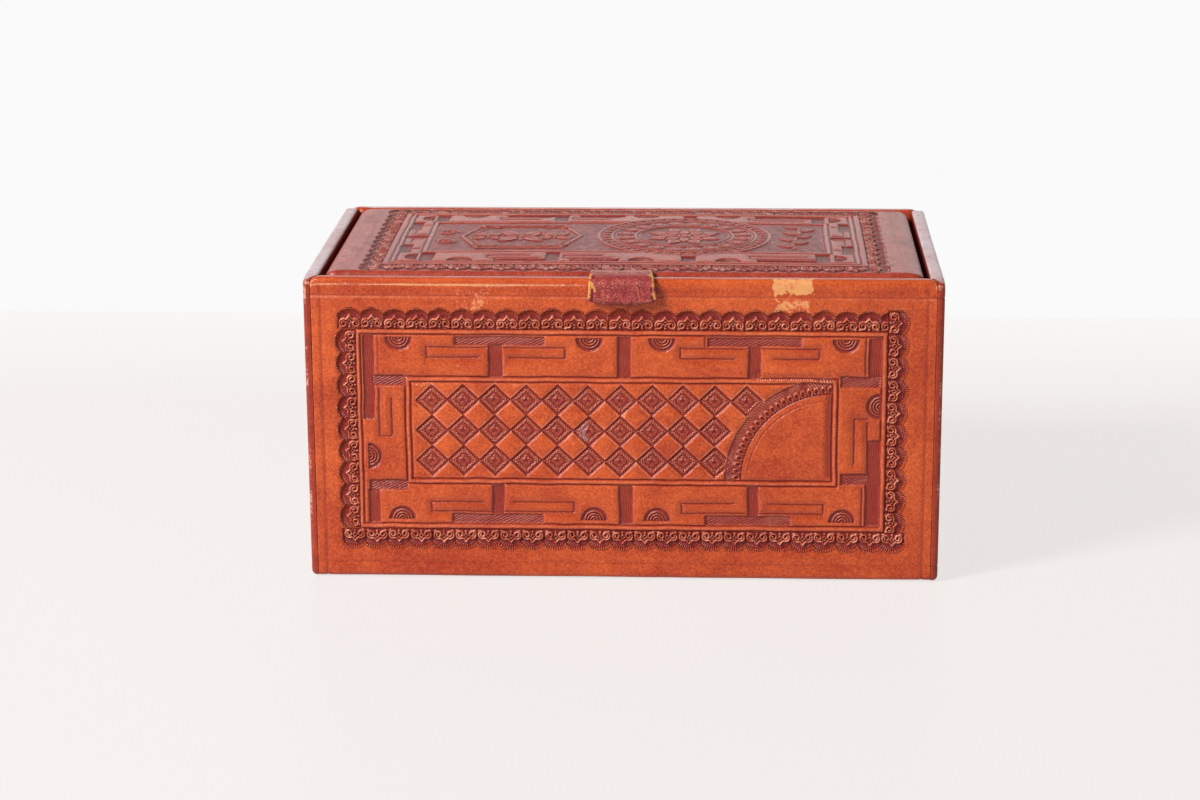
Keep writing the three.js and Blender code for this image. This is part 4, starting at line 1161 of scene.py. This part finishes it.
def strapMesh():
    # A line runs through the strap's thickness from its root on the lid, over the front rim and down to
    # the nose, and half the thickness is set off on both sides of it. w runs across the strap and s
    # along it. The sides close in a half round, and the root and the nose taper to nothing.
    thin, thick, nose, shoulder = (tab[key] for key in ("thin", "thick", "nose", "shoulder"))
    rimY = -wall["depth"] / 2 + wall["thick"] / 2
    level = lid["top"] + tab["off"] + thin / 2
    share = np.linspace(0, 1, 18)
    turn = np.pi / 2 * (1 + share)
    over = tab["reach"] + 0.5 * (thin + (thick - thin) * share)
    crest = wall["rim"] + tab["overRim"] + thin / 2
    line = np.stack([rimY + over * np.cos(turn), shoulder + (crest - shoulder) * np.sin(turn)], -1)
    line = np.concatenate([[[lid["low"] + tab["root"], level], [lid["low"] + tab["axis"], level]], line,
                           [[rimY - tab["reach"] - thick / 2 - tab["hang"], tab["bottom"]]]])
    length = np.r_[0, np.linalg.norm(np.diff(line, axis=0), axis=1).cumsum()]
    end = length[-1]
    closing = nose * (1 - np.sin(np.linspace(0, np.pi / 2, 9)[1:]))
    s = np.r_[np.linspace(0, end - nose, tab["rows"]), end - closing]
    y, z = np.interp(s, length, line[:, 0]), np.interp(s, length, line[:, 1])
    for _ in range(3):
        y[1:-1], z[1:-1] = (y[:-2] + 2 * y[1:-1] + y[2:]) / 4, (z[:-2] + 2 * z[1:-1] + z[2:]) / 4
    z = z - np.interp(s, [0, length[4]], [thin / 2, 0])
    taper = np.clip((s - end + nose) / nose, 0, 1)
    half = np.interp(s, [0, length[4], length[-4], end], [0, thin, thick, thick]) / 2
    half = half * np.sqrt(1 - taper ** 2)
    halfWidth = np.interp(s, [0, end], [tab["halfRoot"], tab["halfNose"]]) - tab["side"]
    flat, arc = np.linspace(-1, 1, tab["columns"]), np.linspace(-np.pi / 2, np.pi / 2, 7)[1:-1]
    w = np.concatenate([flat, 1 + 0 * arc, flat[::-1], -1 + 0 * arc])
    face = np.concatenate([flat * 0 + 1, np.sin(arc[::-1]), flat * 0 - 1, np.sin(arc)])
    bulge = np.concatenate([flat * 0, np.cos(arc), flat * 0, np.cos(arc)]) * tab["side"]
    slope = np.hypot(np.gradient(y), np.gradient(z))
    outY, outZ = np.gradient(z) / slope, -np.gradient(y) / slope
    w, s = np.meshgrid(w, s)
    rough = 0.12 * (noise(w * 14 + 40, s, 2.0, 300) - 0.5) + 0.1 * (noise(w * 14, s, 0.8, 301) - 0.5)
    rough = rough * (face > 0) * (1 - taper[:, None]) * np.clip(s, 0, 1)
    offset = face * (half[:, None] + rough)
    x = w * halfWidth[:, None] + np.sign(w) * bulge - tab["lean"] * (1 - s / end)
    y, z = y[:, None] + outY[:, None] * offset, z[:, None] + outZ[:, None] * offset
    bow = tab["bow"] * (1 - w ** 2) * np.clip((s / end - 0.55) / 0.45, 0, 1)
    z = z - bow * (z < shoulder) + 0.9 * np.abs(w) ** 6 * np.clip((s - end + 4) / 4, 0, 1)
    return np.stack([x, y + shift, z], -1), w, s, np.broadcast_to(face, s.shape), end


points, across, along, face, strapEnd = strapMesh()
f = field(across * 13.5, along, 310)
x, s, upper = f["x"], f["z"], face > 0.3
# Both sides are worn raw in ragged patches, with dark dashes between them.
side = np.abs(x)
patches, bits = noise(x * 0.1, s, 2.2, 312), noise(x, s, 0.9, 315)
ragged = side - 12.5 - 0.2 * np.sign(x) + 3.0 * (patches - 0.45) + 2.6 * (bits - 0.5)
ragged = np.clip(ragged / 0.4, 0, 1) * upper
dash = stroke(side - 12.2, 0.35, 0.4) * soft(0.52 - noise(x * 0.1, s, 1.5, 317), 0.12)
chips = 0.8 * (noise(x, s, 0.8, 318) > 0.8) * soft(s - 8, 3) * upper
ragged = np.maximum(ragged, chips) * (1 - 0.9 * dash)
f["wear"] = 0.5 + 0.09 * noise(x, s, 2.4, 311) + 0.22 * ragged - 0.5 * dash
f["stain"] = 0.5 * noise(x, s, 2.0, 313) * (1 - ragged)
atLeast(f, "stain", np.maximum(dash * 0.95, 0.7 * soft(strapEnd - s - 1.3, 0.8)))
# A greyish band near the strap's root, where it bends over the lid's edge: painted sheen.
f["dust"] = 0.3 * bell(s, 3.2, 1.0) * upper
strap = makeTube("pull_strap", points, f)
place(strap, None, "tab_leather", tabLeather, "pull_tab_root", "pull_tab")
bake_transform(strap)
print("stage: pull tab")

# The pin: a thin shank with a low domed head, its outline turned round its own axis.
pin = dict(radius=0.7, shank=0.56, low=122.2, head=126.5, dome=0.35, rim=0.3, sides=24)
pinLow, pinHigh = nodeBox("tab_pin")
rise = np.linspace(0, np.pi / 2, 6)
radius = np.concatenate([[0, pin["shank"], pin["shank"], pin["radius"]], pin["radius"] * np.cos(rise)])
under = pin["head"] - pin["rim"]
height = np.concatenate([[pin["low"], pin["low"], under, under], pin["head"] + pin["dome"] * np.sin(rise)])
radius[-1] = 0
radius, height = radius[:, None], height[:, None]
turn = np.linspace(0, 2 * np.pi, pin["sides"] + 1)[:-1]
turned = np.stack([radius * np.cos(turn), radius * np.sin(turn), height + 0 * turn], -1)
turned = turned + (pinLow + pinHigh) / 2 * [1, 1, 0]
place(makeTube("pin", turned), "lid", "pin_steel", pinMaterial, "tab_pin")

# The hinge: one strip of leather folded back on itself along its top, between the lid and the wall.
# Its section is an outer and an inner line, both straight up, half round the fold and down again.
hingeFold = dict(inside=0.08, straight=8, turns=13, lengthways=90, bend=0.45)
wallLow, wallHigh = nodeBox("hinge_wall_leaf")
lidLow, lidHigh = nodeBox("hinge_lid_leaf")
foldY, foldTop = (lidLow[1] + wallHigh[1]) / 2, wallHigh[2]
outside = (wallHigh[1] - lidLow[1]) / 2
rise = np.linspace(wallLow[2], foldTop - outside, hingeFold["straight"])
turn = np.linspace(0, np.pi, hingeFold["turns"])[1:-1]
out = np.concatenate([rise * 0 + 1, np.cos(turn), rise * 0 - 1])
over, under = (np.concatenate([rise, foldTop - outside + reach * np.sin(turn), rise[::-1]])
               for reach in (outside, hingeFold["inside"]))
loopY = np.concatenate([foldY + outside * out, foldY - hingeFold["inside"] * out])
loopZ = np.concatenate([over, under])
length = np.linspace(lidLow[0], lidHigh[0], hingeFold["lengthways"])[:, None]
strip = np.stack([length + 0 * loopY, loopY + 0 * length, loopZ + 0 * length], -1)
g = field(strip[..., 0], strip[..., 2] + strip[..., 1], 330)
index = np.arange(loopY.size * length.size).reshape(length.size, -1)
count = out.size
caps = [np.stack([row[:count - 1], row[1:count], row[-2:count - 1:-1], row[:count:-1]], -1)
        for row in index[[0, -1]]]
hinge = makeTube("hinge_strip", strip, g, caps)
place(hinge, None, "hinge_leather", hingeLeather, "hinge_wall_leaf", "hinge_lid_leaf")
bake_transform(hinge)
print("stage: hinge")

# The floor: a pale matt board whose far part is seen a little brighter. It lies just under the box,
# and ends where the photo's floor does.
ground = dict(deep="#DEDAD8", bright="#E4E0DE", near="#F5F0EE", far="#F9F7F6", cloud=220, below=0.2,
              side=3000, front=3000, back=379, farFrom=200, farTo=370, glow=0.82)
floorMaterial, tree, shader, spot = newMaterial("pale_floor")
cloud = put(tree, "TexNoise", {"Vector": spot, "Scale": 1000 / ground["cloud"], "Detail": 3,
                               "Roughness": 0.55}, "Fac")
colour = put(tree, "Mix", {0: cloud, 6: linear(ground["deep"]), 7: linear(ground["bright"])}, 2,
             data_type="RGBA")
tree.links.new(colour, shader.inputs["Base Color"])
shader.inputs["Roughness"].default_value = 0.3
shader.inputs["IOR"].default_value = 1.35
seen = put(tree, "LightPath", out="Is Camera Ray")
depth = put(tree, "SeparateXYZ", {0: spot}, "Y")
far = put(tree, "MapRange", {0: depth, 1: ground["farFrom"] / 1000, 2: ground["farTo"] / 1000})
share = put(tree, "Math", {0: far, 1: 1 - ground["glow"], 2: ground["glow"]}, operation="MULTIPLY_ADD")
share = put(tree, "Math", {0: share, 1: seen}, operation="MULTIPLY")
tint = put(tree, "Mix", {0: far, 6: linear(ground["near"]), 7: linear(ground["far"])}, 2, data_type="RGBA")
glow = put(tree, "Emission", {"Color": tint, "Strength": 1.0})
bright = put(tree, "MixShader", {0: share, 1: shader.outputs[0], 2: glow})
tree.links.new(bright, tree.nodes["Material Output"].inputs["Surface"])
corners = np.array([[-1, -1], [1, -1], [1, 1], [-1, 1]])
plan = corners * np.where(corners > 0, [ground["side"], ground["back"]], [ground["side"], ground["front"]])
floor = makeMesh("floor", np.c_[plan, np.full(4, -ground["below"])] / 1000, np.array([[0, 1, 2, 3]]))
floor.data.materials.append(floorMaterial)
floor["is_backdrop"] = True

# The world is white to the camera and through glass, and a weak plain light to the rest.
world = bpy.data.worlds.new("studio")
bpy.context.scene.world = world
world.use_nodes = True
tree = world.node_tree
tree.nodes.clear()
seen, through = (put(tree, "LightPath", out=name) for name in ("Is Camera Ray", "Is Transmission Ray"))
seen = put(tree, "Math", {0: seen, 1: through}, operation="MAXIMUM")
light = put(tree, "Background", {"Color": linear("#FFFFFF"), "Strength": 0.17})
white = put(tree, "Background", {"Color": linear("#FAFAFA"), "Strength": 1.0})
put(tree, "OutputWorld", {"Surface": put(tree, "MixShader", {0: seen, 1: light, 2: white})})

# The lamps, in metres and watts.
lamps = dict(key=dict(at=(-1.56, -1.15, 1.45), aim=(0, 0, 0.06), size=0.6, power=78),
             fill=dict(at=(1.4, -1.4, 0.9), aim=(0, 0, 0.06), size=1.2, power=5),
             rear=dict(at=(0.1, 2.1, 0.8), aim=(0, 0, 0.1), size=2.6, power=15))
for name, lamp in lamps.items():
    data = bpy.data.lights.new(name, "AREA")
    data.shape, data.size, data.energy = "DISK", lamp["size"], lamp["power"]
    light = bpy.data.objects.new(name, data)
    light.location = lamp["at"]
    light.rotation_euler = (Vector(lamp["aim"]) - Vector(lamp["at"])).to_track_quat("-Z", "Y").to_euler()
    bpy.context.scene.collection.objects.link(light)

# The camera was fitted to the box's edges. at is in mm, and the turns are in radians: pitch down, yaw to
# the left, and roll.
camera = dict(at=(41.189, -1187.7, 386.765), pitch=0.2715, yaw=0.04491, roll=-0.00475, lens=87.43)
data = bpy.data.cameras.new("camera")
data.lens, data.sensor_width, data.sensor_fit = camera["lens"], 36, "HORIZONTAL"
data.clip_start, data.clip_end = 0.05, 30
view = bpy.data.objects.new("camera", data)
turns = np.array([camera[key] for key in ("pitch", "yaw", "roll")])
(cosPitch, cosYaw, cosRoll), (sinPitch, sinYaw, sinRoll) = np.cos(turns), np.sin(turns)
forward = np.array([-sinYaw * cosPitch, cosYaw * cosPitch, -sinPitch])
level = np.array([cosYaw, sinYaw, 0])
upright = np.cross(level, forward)
right, up = cosRoll * level + sinRoll * upright, cosRoll * upright - sinRoll * level
at = (np.array(camera["at"]) + [0, shift, 0]) / 1000
view.matrix_world = Matrix(np.column_stack([right, up, -forward, at]).tolist() + [[0, 0, 0, 1]])
bpy.context.scene.collection.objects.link(view)
bpy.context.scene.camera = view
bpy.context.scene.view_settings.view_transform = "Standard"
print("stage: studio")

low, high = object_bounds()
print("size:", [round(v * 1000, 2) for v in (*low, *high)])
